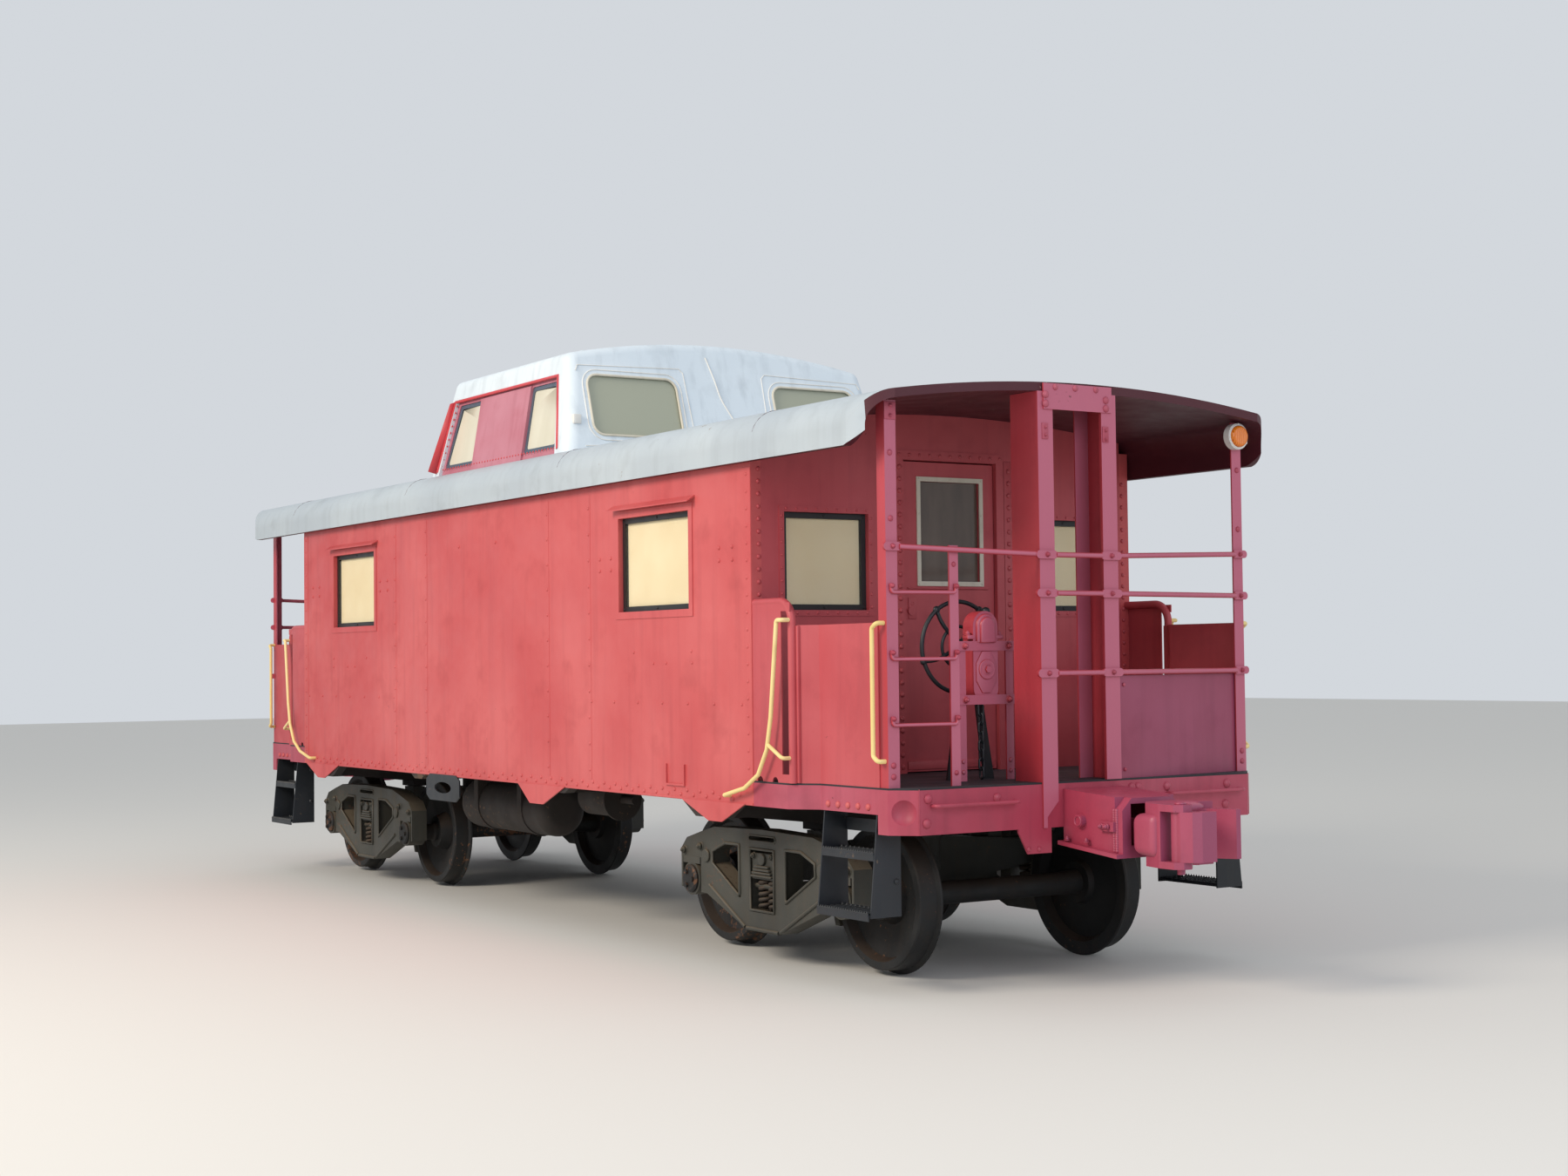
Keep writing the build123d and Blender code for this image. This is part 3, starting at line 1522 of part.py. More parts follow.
# Grab irons
grab_radius = 12.5
grab_out = 50.0
grab_y = -(body_half_width + grab_out)
post_grab_y = -(corner_y + grab_out)
with BuildPart() as grabs:
    add(
        rod(
            [
                (tube_line, tube_y, 2045),
                (tube_line, grab_y, 2045),
                (tube_line - 46, grab_y, 2045),
                (body_half_length + 270, grab_y, 1500),
                (body_half_length + 225, grab_y, 1315),
                (body_half_length + 130, grab_y, 1170),
                (body_half_length - 20, grab_y, 1088),
                (body_half_length - 255, grab_y, 1036),
                (body_half_length - 255, -body_half_width, 1036),
            ],
            grab_radius,
            20,
        )
    )
    add(
        rod(
            [
                (body_half_length + 233, grab_y, 1345),
                (tube_line, grab_y, 1271),
                (tube_line, tube_y, 1271),
            ],
            grab_radius * 0.9,
            20,
        )
    )
    add(
        rod(
            [
                (corner_x - 28, -corner_y, 2012),
                (corner_x - 28, post_grab_y, 2012),
                (corner_x - 68, post_grab_y, 1985),
                (corner_x - 68, post_grab_y, 1300),
                (corner_x - 28, post_grab_y, 1272),
                (corner_x - 28, -corner_y, 1272),
            ],
            grab_radius,
            18,
        )
    )
    add(quarter_panel.part, mode=Mode.SUBTRACT)
with BuildPart() as grab_irons:
    for copy in at_four_corners(grabs.part):
        add(copy)
save(grab_irons, "grab_irons")

sill_grab_height = 1035.0
with BuildPart() as sill_grab_pair:
    for side in (1, -1):
        add(
            rod(
                [
                    (platform_half_length, side * 1120, sill_grab_height),
                    (platform_half_length + 52, side * 1120, sill_grab_height),
                    (platform_half_length + 52, side * 560, sill_grab_height),
                    (platform_half_length, side * 560, sill_grab_height),
                ],
                10,
                18,
            )
        )
with BuildPart() as sill_grabs:
    add(sill_grab_pair.part)
    add(turned(sill_grab_pair.part))
save(sill_grabs, "sill_grabs")

# Hand brake: twin-bar stand, gear case, wheel on its pedestal and the chain
brake_line = -440.0
stand_x = body_half_length + 885
stand_half = 195.0
stand_bar = 52.0
stand_top = 1915.0
case_half = 88.0
case_bottom = 1565.0
case_top = 2085.0
case_depth = 92.0
wheel_x = body_half_length + 640
wheel_height = 1885.0
wheel_radius = 262.0
with BuildPart() as stand:
    for side in (1, -1):
        with BuildSketch(Plane.XY.offset(deck_top)):
            with Locations((stand_x, brake_line + side * (stand_half - stand_bar / 2))):
                Rectangle(12, stand_bar)
        extrude(amount=stand_top - deck_top)
    for height in (1585, 1888):
        with BuildSketch(Plane.YZ.offset(stand_x + 6)):
            with Locations((brake_line, height)):
                Rectangle(2 * stand_half, 54)
        extrude(amount=10)
    with BuildSketch(Plane.YZ.offset(stand_x + 6)) as case_outline:
        with Locations((brake_line, (case_bottom + case_top) / 2)):
            SlotOverall(case_top - case_bottom, 2 * case_half, rotation=90)
    extrude(amount=-case_depth)
    with BuildSketch(Plane.YZ.offset(stand_x + 6)):
        with Locations((brake_line, 1755)):
            Circle(58)
    extrude(amount=16, taper=18)
    with BuildSketch(Plane.YZ.offset(stand_x + 6)):
        with Locations((brake_line, 1755)):
            RegularPolygon(20, 6)
    extrude(amount=30)
with BuildPart() as brake_stands:
    add(stand.part)
    add(turned(stand.part))
save(brake_stands, "hand_brake_stands")

with BuildPart() as hand_wheel:
    with BuildSketch(Plane.XZ.offset(-brake_line)):
        with Locations((wheel_x, wheel_height + wheel_radius)):
            Circle(13)
    revolve(axis=Axis((wheel_x, brake_line, wheel_height), (1, 0, 0)))
    case_back = stand_x + 6 - case_depth
    add(rod([(wheel_x - 25, brake_line, wheel_height), (case_back - seat, brake_line, wheel_height)], 16))
    add(rod([(wheel_x - 25, brake_line, wheel_height), (wheel_x + 32, brake_line, wheel_height)], 38))
    spoke_plane = Plane(origin=(wheel_x, brake_line, wheel_height), x_dir=(0, 1, 0), z_dir=(1, 0, 0))
    with BuildSketch(spoke_plane.offset(-7)):
        with PolarLocations(0, 5, start_angle=18):
            with Locations((wheel_radius / 2 + 10, 0)):
                Trapezoid(30, wheel_radius - 36, 87, rotation=90)
    extrude(amount=14)
    knob_y = brake_line + 160
    knob_z = wheel_height + 205
    add(rod([(wheel_x, knob_y, knob_z), (wheel_x + 74, knob_y, knob_z)], 17))
with BuildPart() as hand_wheels:
    add(hand_wheel.part)
    add(turned(hand_wheel.part))
save(hand_wheels, "hand_brake_wheels")

pedestal_x = wheel_x + 85
with BuildPart() as pedestal:
    with BuildSketch(Plane.YZ.offset(pedestal_x)):
        with Locations((brake_line, wheel_height)):
            Circle(46)
        for side in (1, -1):
            with BuildLine():
                Polyline(
                    (brake_line + side * 44, wheel_height),
                    (brake_line + side * 168, deck_top),
                    (brake_line + side * 98, deck_top),
                    (brake_line + side * 10, wheel_height - 80),
                    close=True,
                )
            make_face()
        with Locations((brake_line, wheel_height)):
            Circle(16 + seat, mode=Mode.SUBTRACT)
    extrude(amount=14)
with BuildPart() as pedestals:
    add(pedestal.part)
    add(turned(pedestal.part))
save(pedestals, "hand_brake_pedestals")

link_count = 8
link_wire = 6.5
link_width = 46.0
link_overlap = 4 * link_wire + 0.8
chain_drop = case_bottom - deck_top - 2 * seat
link_length = (chain_drop + (link_count - 1) * link_overlap) / link_count
link_pitch = link_length - link_overlap
with BuildPart() as link:
    straight = link_length - link_width
    bend = link_width / 2 - link_wire
    with BuildLine() as loop:
        Line((0, bend, -straight / 2), (0, bend, straight / 2))
        ThreePointArc((0, bend, straight / 2), (0, 0, straight / 2 + bend), (0, -bend, straight / 2))
        Line((0, -bend, straight / 2), (0, -bend, -straight / 2))
        ThreePointArc((0, -bend, -straight / 2), (0, 0, -straight / 2 - bend), (0, bend, -straight / 2))
    with BuildSketch(Plane(origin=(0, bend, 0), z_dir=(0, 0, 1))):
        Circle(link_wire)
    sweep(path=loop.line)
chain_x = stand_x - case_depth / 2
with BuildPart() as chain:
    for place in range(link_count):
        height = case_bottom - seat - link_length / 2 - place * link_pitch
        turn = 90 * (place % 2)
        add(link.part.moved(Location((chain_x, brake_line, height), (0, 0, turn))))
with BuildPart() as chains:
    add(chain.part)
    add(turned(chain.part))
save(chains, "hand_brake_chains")

# Air reservoir, brake cylinder and rods under the floor
reservoir_radius = 193.0
reservoir_length = 1450.0
reservoir_place = (-725.0, -800.0, 735.0)
with BuildPart() as reservoir:
    face = Plane(origin=reservoir_place, x_dir=(0, 1, 0), z_dir=(1, 0, 0))
    with BuildSketch(face):
        Circle(reservoir_radius)
    extrude(amount=reservoir_length / 2, both=True)
    ends = reservoir.edges().filter_by(GeomType.CIRCLE)
    fillet(ends, 90)
    for place in (-380, 380):
        with BuildSketch(face.offset(place)):
            Circle(reservoir_radius + 8)
            with Locations((0, (deck_under - reservoir_place[2]) / 2)):
                Rectangle(2 * reservoir_radius + 16, deck_under - reservoir_place[2])
            Circle(reservoir_radius - 1, mode=Mode.SUBTRACT)
            with Locations((0, reservoir_radius + 60)):
                Rectangle(2 * reservoir_radius - 60, 110, mode=Mode.SUBTRACT)
        extrude(amount=35, both=True)
save(reservoir, "air_reservoir")

cylinder_radius = 125.0
with BuildPart() as cylinder:
    face = Plane(origin=(420, -780, 860), x_dir=(0, 1, 0), z_dir=(1, 0, 0))
    with BuildSketch(face):
        Circle(cylinder_radius)
    extrude(amount=420)
    with BuildSketch(face.offset(420)):
        Circle(cylinder_radius + 25)
    extrude(amount=24)
    with BuildSketch(face.offset(444)):
        Circle(28)
    extrude(amount=180)
    for place in (40, 330):
        with BuildSketch(face.offset(place)):
            with Locations((0, (deck_under - 860) / 2)):
                Rectangle(150, deck_under - 860)
        extrude(amount=30)
save(cylinder, "brake_cylinder")

rod_height = 880.0
rod_line = 300.0
near_rod_start = 1044.0
far_rod_start = -200.0
bolster_face = truck_centre - bolster_length / 2
with BuildPart() as brake_rods:
    for start, end, side in [
        (near_rod_start, bolster_face, -rod_line),
        (far_rod_start, -bolster_face, rod_line),
    ]:
        add(rod([(start, side, rod_height), (end, side, rod_height)], 16))
save(brake_rods, "brake_rods")

# Round lamp on the corner post of the +X end
lamp_y = corner_y - 58
lamp_radius = 78.0
lamp_height = corner_top - lamp_radius - 6
with BuildPart() as lamp:
    with BuildSketch(Plane.YZ.offset(corner_x)):
        with Locations((lamp_y, lamp_height)):
            Circle(lamp_radius)
    extrude(amount=44)
save(lamp, "lamp_housing")
with BuildPart() as lens:
    with BuildSketch(Plane.YZ.offset(corner_x + 44)):
        with Locations((lamp_y, lamp_height)):
            Circle(lamp_radius - 14)
    extrude(amount=26)
    fillet(lens.faces().sort_by(Axis.X)[-1].edges(), 18)
save(lens, "lamp_lens")
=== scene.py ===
# %% [markdown]
# # A caboose, dressed for a photograph
#
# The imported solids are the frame. This script gives them their paint, dirt and wear, and adds
# the small things that the solids leave out, such as rivets, coils, gratings and seams.
#
# Lengths are metres, and millimetres where a name ends in mm. The near end faces +x, and the
# far end is the near end turned half round about z.

# %% Load the frame
import math

import bmesh
import bpy
from mathutils import Matrix, Vector


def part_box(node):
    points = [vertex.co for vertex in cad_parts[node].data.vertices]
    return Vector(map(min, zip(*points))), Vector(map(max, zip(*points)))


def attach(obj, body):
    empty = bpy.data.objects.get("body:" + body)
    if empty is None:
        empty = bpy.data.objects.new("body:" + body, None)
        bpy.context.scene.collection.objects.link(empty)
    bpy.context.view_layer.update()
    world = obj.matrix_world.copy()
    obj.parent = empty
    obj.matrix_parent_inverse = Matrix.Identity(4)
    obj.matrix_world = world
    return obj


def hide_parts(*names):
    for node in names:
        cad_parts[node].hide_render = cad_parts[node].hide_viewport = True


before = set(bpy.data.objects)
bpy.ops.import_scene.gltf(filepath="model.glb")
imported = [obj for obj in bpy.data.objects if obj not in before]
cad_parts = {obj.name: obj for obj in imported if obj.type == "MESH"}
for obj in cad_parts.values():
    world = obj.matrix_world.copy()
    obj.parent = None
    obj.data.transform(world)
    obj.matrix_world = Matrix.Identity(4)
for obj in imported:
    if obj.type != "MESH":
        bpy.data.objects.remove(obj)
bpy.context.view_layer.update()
scene = bpy.context.scene
scene.view_settings.view_transform = "Standard"

# %% [markdown]
# The camera stands where the photograph was taken from. Its place, turn, lens and shift were
# solved from the picture.

# %% Camera
camera_data = bpy.data.cameras.new("camera")
camera = bpy.data.objects.new("camera", camera_data)
scene.collection.objects.link(camera)
scene.camera = camera

image_width, image_height = 1800, 1350
focal_pixels = 2468.56
middle_x, middle_y = 872.30, 669.97
camera_place = (14.1777, -7.9858, 1.812)
yaw, pitch, roll = (math.radians(angle) for angle in (57.8788, 2.0824, -0.6403))

level = Vector((math.cos(yaw), math.sin(yaw), 0))
forward = Vector((-math.sin(yaw), math.cos(yaw), 0)) * math.cos(pitch)
forward.z = math.sin(pitch)
upward = level.cross(forward)
right = level * math.cos(roll) + upward * math.sin(roll)
up = upward * math.cos(roll) - level * math.sin(roll)

camera_data.sensor_width = 36
camera_data.lens = focal_pixels / image_width * camera_data.sensor_width
camera_data.shift_x = (image_width / 2 - middle_x) / image_width
camera_data.shift_y = (middle_y - image_height / 2) / image_width
camera_data.clip_end = 200
turn = Matrix((right, up, -forward)).transposed()
camera.matrix_world = Matrix.Translation(camera_place) @ turn.to_4x4()
print("camera at", tuple(round(v, 3) for v in camera.location))


# %% [markdown]
# Helpers that every later cell uses: a colour, a shader node, and a mesh that becomes a piece.

# %% Helpers
def linear(text):
    """A paint colour written as on a screen, such as #C8575D, for a shader socket."""
    parts = [int(text[start : start + 2], 16) / 255 for start in (1, 3, 5)]
    return tuple(p / 12.92 if p <= 0.04045 else ((p + 0.055) / 1.055) ** 2.4 for p in parts) + (1.0,)


def add_node(tree, kind, inputs=(), **settings):
    """Add a node, set its properties, then set or link its inputs."""
    made = tree.nodes.new(kind)
    for name, value in settings.items():
        setattr(made, name, value)
    for name, value in dict(inputs).items():
        if isinstance(value, bpy.types.NodeSocket):
            tree.links.new(value, made.inputs[name])
        else:
            made.inputs[name].default_value = value
    return made


def to_mesh(name, builder):
    """Turn a finished bmesh into a mesh."""
    data = bpy.data.meshes.new(name)
    builder.to_mesh(data)
    builder.free()
    return data


def new_object(name, builder, material, body="body", smooth=True):
    """Turn a bmesh into an object that rides on a CAD body."""
    data = to_mesh(name, builder)
    if smooth:
        data.shade_smooth()
    data.materials.append(material)
    made = bpy.data.objects.new(name, data)
    scene.collection.objects.link(made)
    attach(made, body)
    print(name, len(data.polygons), "faces")
    return made


# %% [markdown]
# The studio: a pale floor, an even sky and two large soft lamps. The stronger one stands
# on the camera's left, where the photograph's daylight comes from.

# %% Studio
floor_builder = bmesh.new()
bmesh.ops.create_grid(floor_builder, x_segments=1, y_segments=1, size=60)
floor_data = to_mesh("floor", floor_builder)
floor = bpy.data.objects.new("floor", floor_data)
scene.collection.objects.link(floor)
floor_paint = bpy.data.materials.new("Pale studio floor")
floor_paint.use_nodes = True
floor_shader = floor_paint.node_tree.nodes["Principled BSDF"]
floor_shader.inputs["Base Color"].default_value = linear("#D9D6D0")
floor_shader.inputs["Roughness"].default_value = 0.9
floor_data.materials.append(floor_paint)

world = bpy.data.worlds.new("studio")
scene.world = world
world.use_nodes = True
sky = world.node_tree.nodes["Background"]
sky.inputs["Color"].default_value = linear("#E9EEF4")
sky.inputs["Strength"].default_value = 0.8


def soft_lamp(name, place, target, size, watts, colour):
    """A large square lamp that faces its target."""
    data = bpy.data.lights.new(name, "AREA")
    data.size = size
    data.energy = watts
    data.color = linear(colour)[:3]
    lamp = bpy.data.objects.new(name, data)
    scene.collection.objects.link(lamp)
    lamp.location = place
    lamp.rotation_mode = "QUATERNION"
    lamp.rotation_quaternion = (Vector(target) - Vector(place)).to_track_quat("-Z", "Y")


soft_lamp("key", (3.0, -16.0, 11.0), (0.8, 0, 1.6), 6.0, 2200, "#FFF4E4")
soft_lamp("fill", (18.0, -2.0, 7.0), (4.0, 0, 1.6), 8.0, 560, "#EAF1FF")


# %% [markdown]
# Paint. One recipe makes each weathered paint: broad fading, streaks that run down the sheet,
# dirt in patches, chips where the paint has gone, and a bump of slow waves and fine grain.
# Sizes are real ones in mm, since every object shares the frame's metres.

# %% Shader steps
def noise(tree, place, size_mm, detail, **inputs):
    """Noise with blotches of about size_mm."""
    inputs.update({"Vector": place, "Scale": 1000 / size_mm, "Detail": detail})
    return add_node(tree, "ShaderNodeTexNoise", inputs).outputs["Fac"]


def ranged(tree, value, low, high, top=1.0, bottom=0.0):
    """Stretch value so that low becomes bottom and high becomes top."""
    ends = {"From Min": low, "From Max": high, "To Min": bottom, "To Max": top}
    return add_node(tree, "ShaderNodeMapRange", {"Value": value, **ends}).outputs[0]


def mixed(tree, share, under, over):
    """The colour under, covered by the colour over to a share."""
    inputs = {"Factor": share, 6: under, 7: over}
    return add_node(tree, "ShaderNodeMix", inputs, data_type="RGBA").outputs[2]


def calculate(tree, operation, *values):
    """One step of arithmetic on one or two values."""
    return add_node(tree, "ShaderNodeMath", dict(enumerate(values)), operation=operation).outputs[0]


def parts_of(tree, vector):
    """The X, Y and Z of a vector."""
    return add_node(tree, "ShaderNodeSeparateXYZ", {"Vector": vector}).outputs


def bump(tree, height, depth, strength=1.0, **inputs):
    """A surface raised by height, depth metres at most."""
    inputs.update({"Height": height, "Distance": depth, "Strength": strength})
    return add_node(tree, "ShaderNodeBump", inputs).outputs[0]


def new_material(name):
    """A material with its node tree, its shader and the place of each point."""
    material = bpy.data.materials.new(name)
    material.use_nodes = True
    tree = material.node_tree
    place = add_node(tree, "ShaderNodeTexCoord").outputs["Object"]
    return material, tree, tree.nodes["Principled BSDF"], place


# %% Weathered paint
def inner_faces(tree, normal, place):
    """1 on the roof's underside, its ends and the inner faces of its eaves, 0 elsewhere."""
    spot = parts_of(tree, place)
    hanging = calculate(tree, "LESS_THAN", normal["Z"], -0.05)
    at_end = calculate(tree, "GREATER_THAN", calculate(tree, "ABSOLUTE", normal["X"]), 0.6)
    outwards = calculate(tree, "MULTIPLY", normal["Y"], spot["Y"])
    inwards = calculate(tree, "LESS_THAN", outwards, -0.01)
    return calculate(tree, "MAXIMUM", calculate(tree, "MAXIMUM", hanging, at_end), inwards)


def weathered_paint(
    name,
    base,
    faded,
    dirt,
    chip,
    roughness,
    chip_from=1.28,  # where noise has to reach for a chip: the higher, the fewer
    streaks=0.25,
    dirt_share=0.3,
    dust=None,  # a colour that lies on what faces up
    dust_share=0.7,
    front=None,  # a painted sheen of sky light on what faces along the car
    front_sheen_share=0.85,
    below=None,  # another paint on the roof's underside, made near-black as painted shade
    metallic=0.0,
    flake_mm=35,
    grain_mm=12,
    grain_depth=0.0006,
    wave_depth=0.004,
):
    """A procedural paint. Shares run from 0 to 1, depths are in metres."""
    material, tree, shader, place = new_material(name)
    normal = parts_of(tree, add_node(tree, "ShaderNodeNewGeometry").outputs["Normal"])

    broad = noise(tree, place, 900, 5.0)
    colour = mixed(tree, ranged(tree, broad, 0.38, 0.66, 0.7), linear(base), linear(faded))

    drawn_out = add_node(tree, "ShaderNodeMapping", {"Vector": place, "Scale": (1.0, 1.0, 0.07)})
    runs = noise(tree, drawn_out.outputs[0], 70, 4.0)
    colour = mixed(tree, ranged(tree, runs, 0.5, 0.78, streaks), colour, linear(dirt))

    patches = noise(tree, place, 220, 8.0)
    colour = mixed(tree, ranged(tree, patches, 0.56, 0.8, dirt_share), colour, linear(dirt))

    if dust:
        lying = ranged(tree, normal["Z"], 0.1, 0.95, dust_share)
        colour = mixed(tree, calculate(tree, "MULTIPLY", lying, broad), colour, linear(dust))
    # Painted reflection: faces that look along the car are tinted towards front, a painted sheen of sky light.
    if front:
        lengthwise_sheen = calculate(tree, "ABSOLUTE", normal["X"])
        colour = mixed(tree, ranged(tree, lengthwise_sheen, 0.5, 0.95, front_sheen_share), colour, linear(front))
    # Painted shade: the roof's underside, ends and inner eave faces take the below colour, a red darkened near black.
    if below:
        colour = mixed(tree, inner_faces(tree, normal, place), colour, linear(below))

    flakes = noise(tree, place, flake_mm, 6.0, Roughness=0.65)
    worn = calculate(tree, "ADD", flakes, broad)
    colour = mixed(tree, ranged(tree, worn, chip_from, chip_from + 0.03), colour, linear(chip))
    tree.links.new(colour, shader.inputs["Base Color"])

    dull = ranged(tree, patches, 0.35, 0.75, min(1.0, roughness + 0.22), roughness)
    tree.links.new(dull, shader.inputs["Roughness"])
    shader.inputs["Metallic"].default_value = metallic

    waves = bump(tree, noise(tree, place, 350, 1.0), wave_depth)
    grain = bump(tree, noise(tree, place, grain_mm, 3.0), grain_depth, 0.7, Normal=waves)
    tree.links.new(grain, shader.inputs["Normal"])
    return material


# %% Red paints
# The sides: bright sun-faded red that goes pink where it has chalked most.
red_paint = weathered_paint(
    "Red body paint", "#BE4B4D", "#CF6767", "#8E2F35", "#6A3029", roughness=0.42, streaks=0.22, chip_from=1.33
)
# The ends, doors, quarter panels and step closures: a darker copy of the side red, painted shade so that the porch
# reads as deeper.
shaded_end_red_paint = weathered_paint(
    "Shaded red end paint", "#B3434A", "#C25A60", "#85303A", "#6A3029", roughness=0.42, streaks=0.22, chip_from=1.33
)
# The end sill, its grabs and the platform's fasteners: a glossier red with brown chips, cooled towards magenta as
# painted sky light in the platform's shade.
dark_red_paint = weathered_paint(
    "Red platform paint", "#A53A4E", "#B55A6C", "#742A3A", "#4A2422", roughness=0.38, streaks=0.3, chip_from=1.3
)
# Posts, rails, ladders and brake stand: red, with a painted lilac sheen of sky light on the faces that look along the
# car.
post_paint = weathered_paint(
    "Post paint with painted sheen", "#AE353F", "#BC4752", "#8A2B38", "#5A2A2A",
    roughness=0.36, streaks=0.3, chip_from=1.38, front="#B8667C",
)
# Coupler and draft box: paint laid thick on rough castings, so it shines over a coarse grain. Its cool magenta cast
# and the purple on faces that look along the car are painted sky light in shade.
coupler_paint = weathered_paint(
    "Thick coupler paint", "#A23A50", "#AE5068", "#6E2A40", "#4A2422",
    roughness=0.3, streaks=0.2, chip_from=1.36, front="#8E4664", front_sheen_share=0.7,
    grain_mm=20, grain_depth=0.0016,
)
# The panel on the railing: a dark plum red, painted shade with the cool cast of sky light.
shaded_panel_paint = weathered_paint(
    "Shaded plum end panel paint", "#8E3C54", "#9B4C66", "#6E2B40", "#4A2422",
    roughness=0.36, streaks=0.25, chip_from=1.38,
)
# Edging of the cupola's bays: the strongest red on the car, a thin outline against the white.
trim_red_paint = weathered_paint(
    "Bright red cupola trim", "#C03A42", "#CC5158", "#8A2B33", "#6E4A46",
    roughness=0.4, streaks=0.2, chip_from=1.36,
)
# Slabs between the cupola's side windows: red washed out towards rose, partly fading and partly a painted sheen of
# sky light on the sloping slabs.
cupola_red = weathered_paint(
    "Faded red cupola paint with painted sheen", "#B46A79", "#C68C9B", "#9A4A58", "#6E4A46",
    roughness=0.42, streaks=0.35, chip_from=1.33,
)

# %% Light paints
# The roof: dull silver with dirt patches above, and underneath, on its ends and inner eaves, a red darkened near
# black as painted shade.
roof_paint = weathered_paint(
    "Silver roof paint", "#AAB4BC", "#BAC4CA", "#858B8F", "#8A7D70",
    roughness=0.45, streaks=0.2, dirt_share=0.35, below="#4A1622", chip_from=1.27,
)
# The cupola: cold white, the brightest form in the picture, with grey runs.
cupola_paint = weathered_paint(
    "White cupola paint", "#D3DEE6", "#E0E9EF", "#9AA4AC", "#6E6F70", roughness=0.42, streaks=0.3, chip_from=1.33
)
# Grab irons: thin pale yellow lines, so their waves are shallow and their chips small.
yellow_paint = weathered_paint(
    "Pale yellow paint", "#E9CF86", "#F2E2AB", "#B79F62", "#7B4A3A",
    roughness=0.4, flake_mm=20, chip_from=1.34, wave_depth=0.0005,
)
# Door window trim and the rubbers of the cupola's windows: old cream, between white and dirt.
trim_paint = weathered_paint(
    "Off-white trim paint", "#CFC7B4", "#DAD4C4", "#8F8878", "#6B5F52", roughness=0.5, chip_from=1.3, wave_depth=0.001
)
# Lamp housing and the cupola's seams: clean warm white.
lamp_white_paint = weathered_paint(
    "White lamp paint", "#DEDDD8", "#E8E7E3", "#A09C92", "#77706A", roughness=0.35, chip_from=1.35, wave_depth=0.001
)

# %% Dark paints and bare metal
# Truck castings: black gone olive-grey, brown dust on every upper face, a sandy grain.
truck_paint = weathered_paint(
    "Black truck paint", "#34342F", "#4A4A43", "#544838", "#5A4638",
    roughness=0.5, dust="#83735F", dust_share=1.0, chip_from=1.22, grain_mm=6, grain_depth=0.0016,
)
# Steps: blue-black, cooler than the trucks behind them.
step_paint = weathered_paint(
    "Black step paint", "#161A1F", "#262C34", "#34322F", "#55483D", roughness=0.42, dust="#4D4943", chip_from=1.27
)
# Wheels: dark steel with rust coming through and a dull metal sheen.
wheel_steel = weathered_paint(
    "Rusty wheel steel", "#1F2021", "#2E2F30", "#40342A", "#6A4A35",
    roughness=0.55, dust="#6B5442", metallic=0.35, chip_from=1.16, grain_mm=8, grain_depth=0.001,
)
# Underframe, reservoir and rods: matt brown-black, so they stay back in the shade.
underframe_paint = weathered_paint(
    "Dusty underframe", "#262120", "#35302C", "#3F362F", "#5A4636", roughness=0.7, chip_from=1.2
)
# Platform deck: trodden black with grey dust lying on it.
deck_paint = weathered_paint(
    "Black deck paint", "#191B20", "#272A31", "#3A3734", "#4A4038", roughness=0.55, dust="#43434A", chip_from=1.3
)
# Window sashes: plain black frames that set off the cream blinds.
sash_paint = weathered_paint(
    "Black sash paint", "#17181A", "#232427", "#34312E", "#4E4740", roughness=0.4, chip_from=1.36, wave_depth=0.001
)
# Cupola sashes: slate, softer than black against the white shell.
grey_sash_paint = weathered_paint(
    "Slate sash paint", "#4A5666", "#5C6878", "#2A2D31", "#6A6660", roughness=0.45, chip_from=1.34, wave_depth=0.001
)
# Hand wheel, chain, pedestal and the sill's hole plates: black iron with a soft shine.
iron_paint = weathered_paint(
    "Black iron paint", "#171B20", "#262C33", "#3A3835", "#5A4A3E", roughness=0.36, chip_from=1.3, wave_depth=0.001
)
# Springs: rusted steel with dust on each turn, lighter than the castings round them.
spring_steel = weathered_paint(
    "Rusted spring steel", "#3A322C", "#54463A", "#2A2522", "#7A5236",
    roughness=0.6, metallic=0.3, dust="#8A7660", chip_from=1.2,
    grain_mm=4, grain_depth=0.0008, wave_depth=0.0005,
)

# %% [markdown]
# Glass, blinds and the lamp's amber lens.

# %% Panes and blinds
cupola_end_panes_from = 0.95  # how far along x the end panes begin


def pane_material(name, colour, mottle, alpha, roughness, end_colour=None):
    """Glazing with a mottled film. end_colour covers the panes on the cupola's two ends."""
    material, tree, shader, place = new_material(name)
    drawn_out = add_node(tree, "ShaderNodeMapping", {"Vector": place, "Scale": (1.0, 1.0, 0.25)})
    film = noise(tree, drawn_out.outputs[0], 1000 / 9, 6.0)
    tint = mixed(tree, film, linear(colour), linear(mottle))
    if end_colour:
        along = calculate(tree, "ABSOLUTE", parts_of(tree, place)["X"])
        on_end = calculate(tree, "GREATER_THAN", along, cupola_end_panes_from)
        tint = mixed(tree, on_end, tint, linear(end_colour))
    tree.links.new(tint, shader.inputs["Base Color"])
    shader.inputs["Roughness"].default_value = roughness
    shader.inputs["Alpha"].default_value = alpha
    shader.inputs["IOR"].default_value = 1.5
    return material


# Clear window glass: hardly seen but for a faint sheen over the blinds.
window_glass = pane_material("Window glass", "#AEB6B4", "#8F9894", alpha=0.07, roughness=0.05)
# Cupola panes: opaque, cream on the sides and grey-green on the ends.
cupola_glass = pane_material(
    "Frosted cupola pane", "#DAD6C4", "#C6C1AC", alpha=1.0, roughness=0.28, end_colour="#A3A694"
)
# Door glass: brown and nearly opaque, painted shade of the unlit cabin behind, with dirt on the glass.
door_glass = pane_material("Dark door glass", "#4A3F38", "#75665A", alpha=0.92, roughness=0.12)

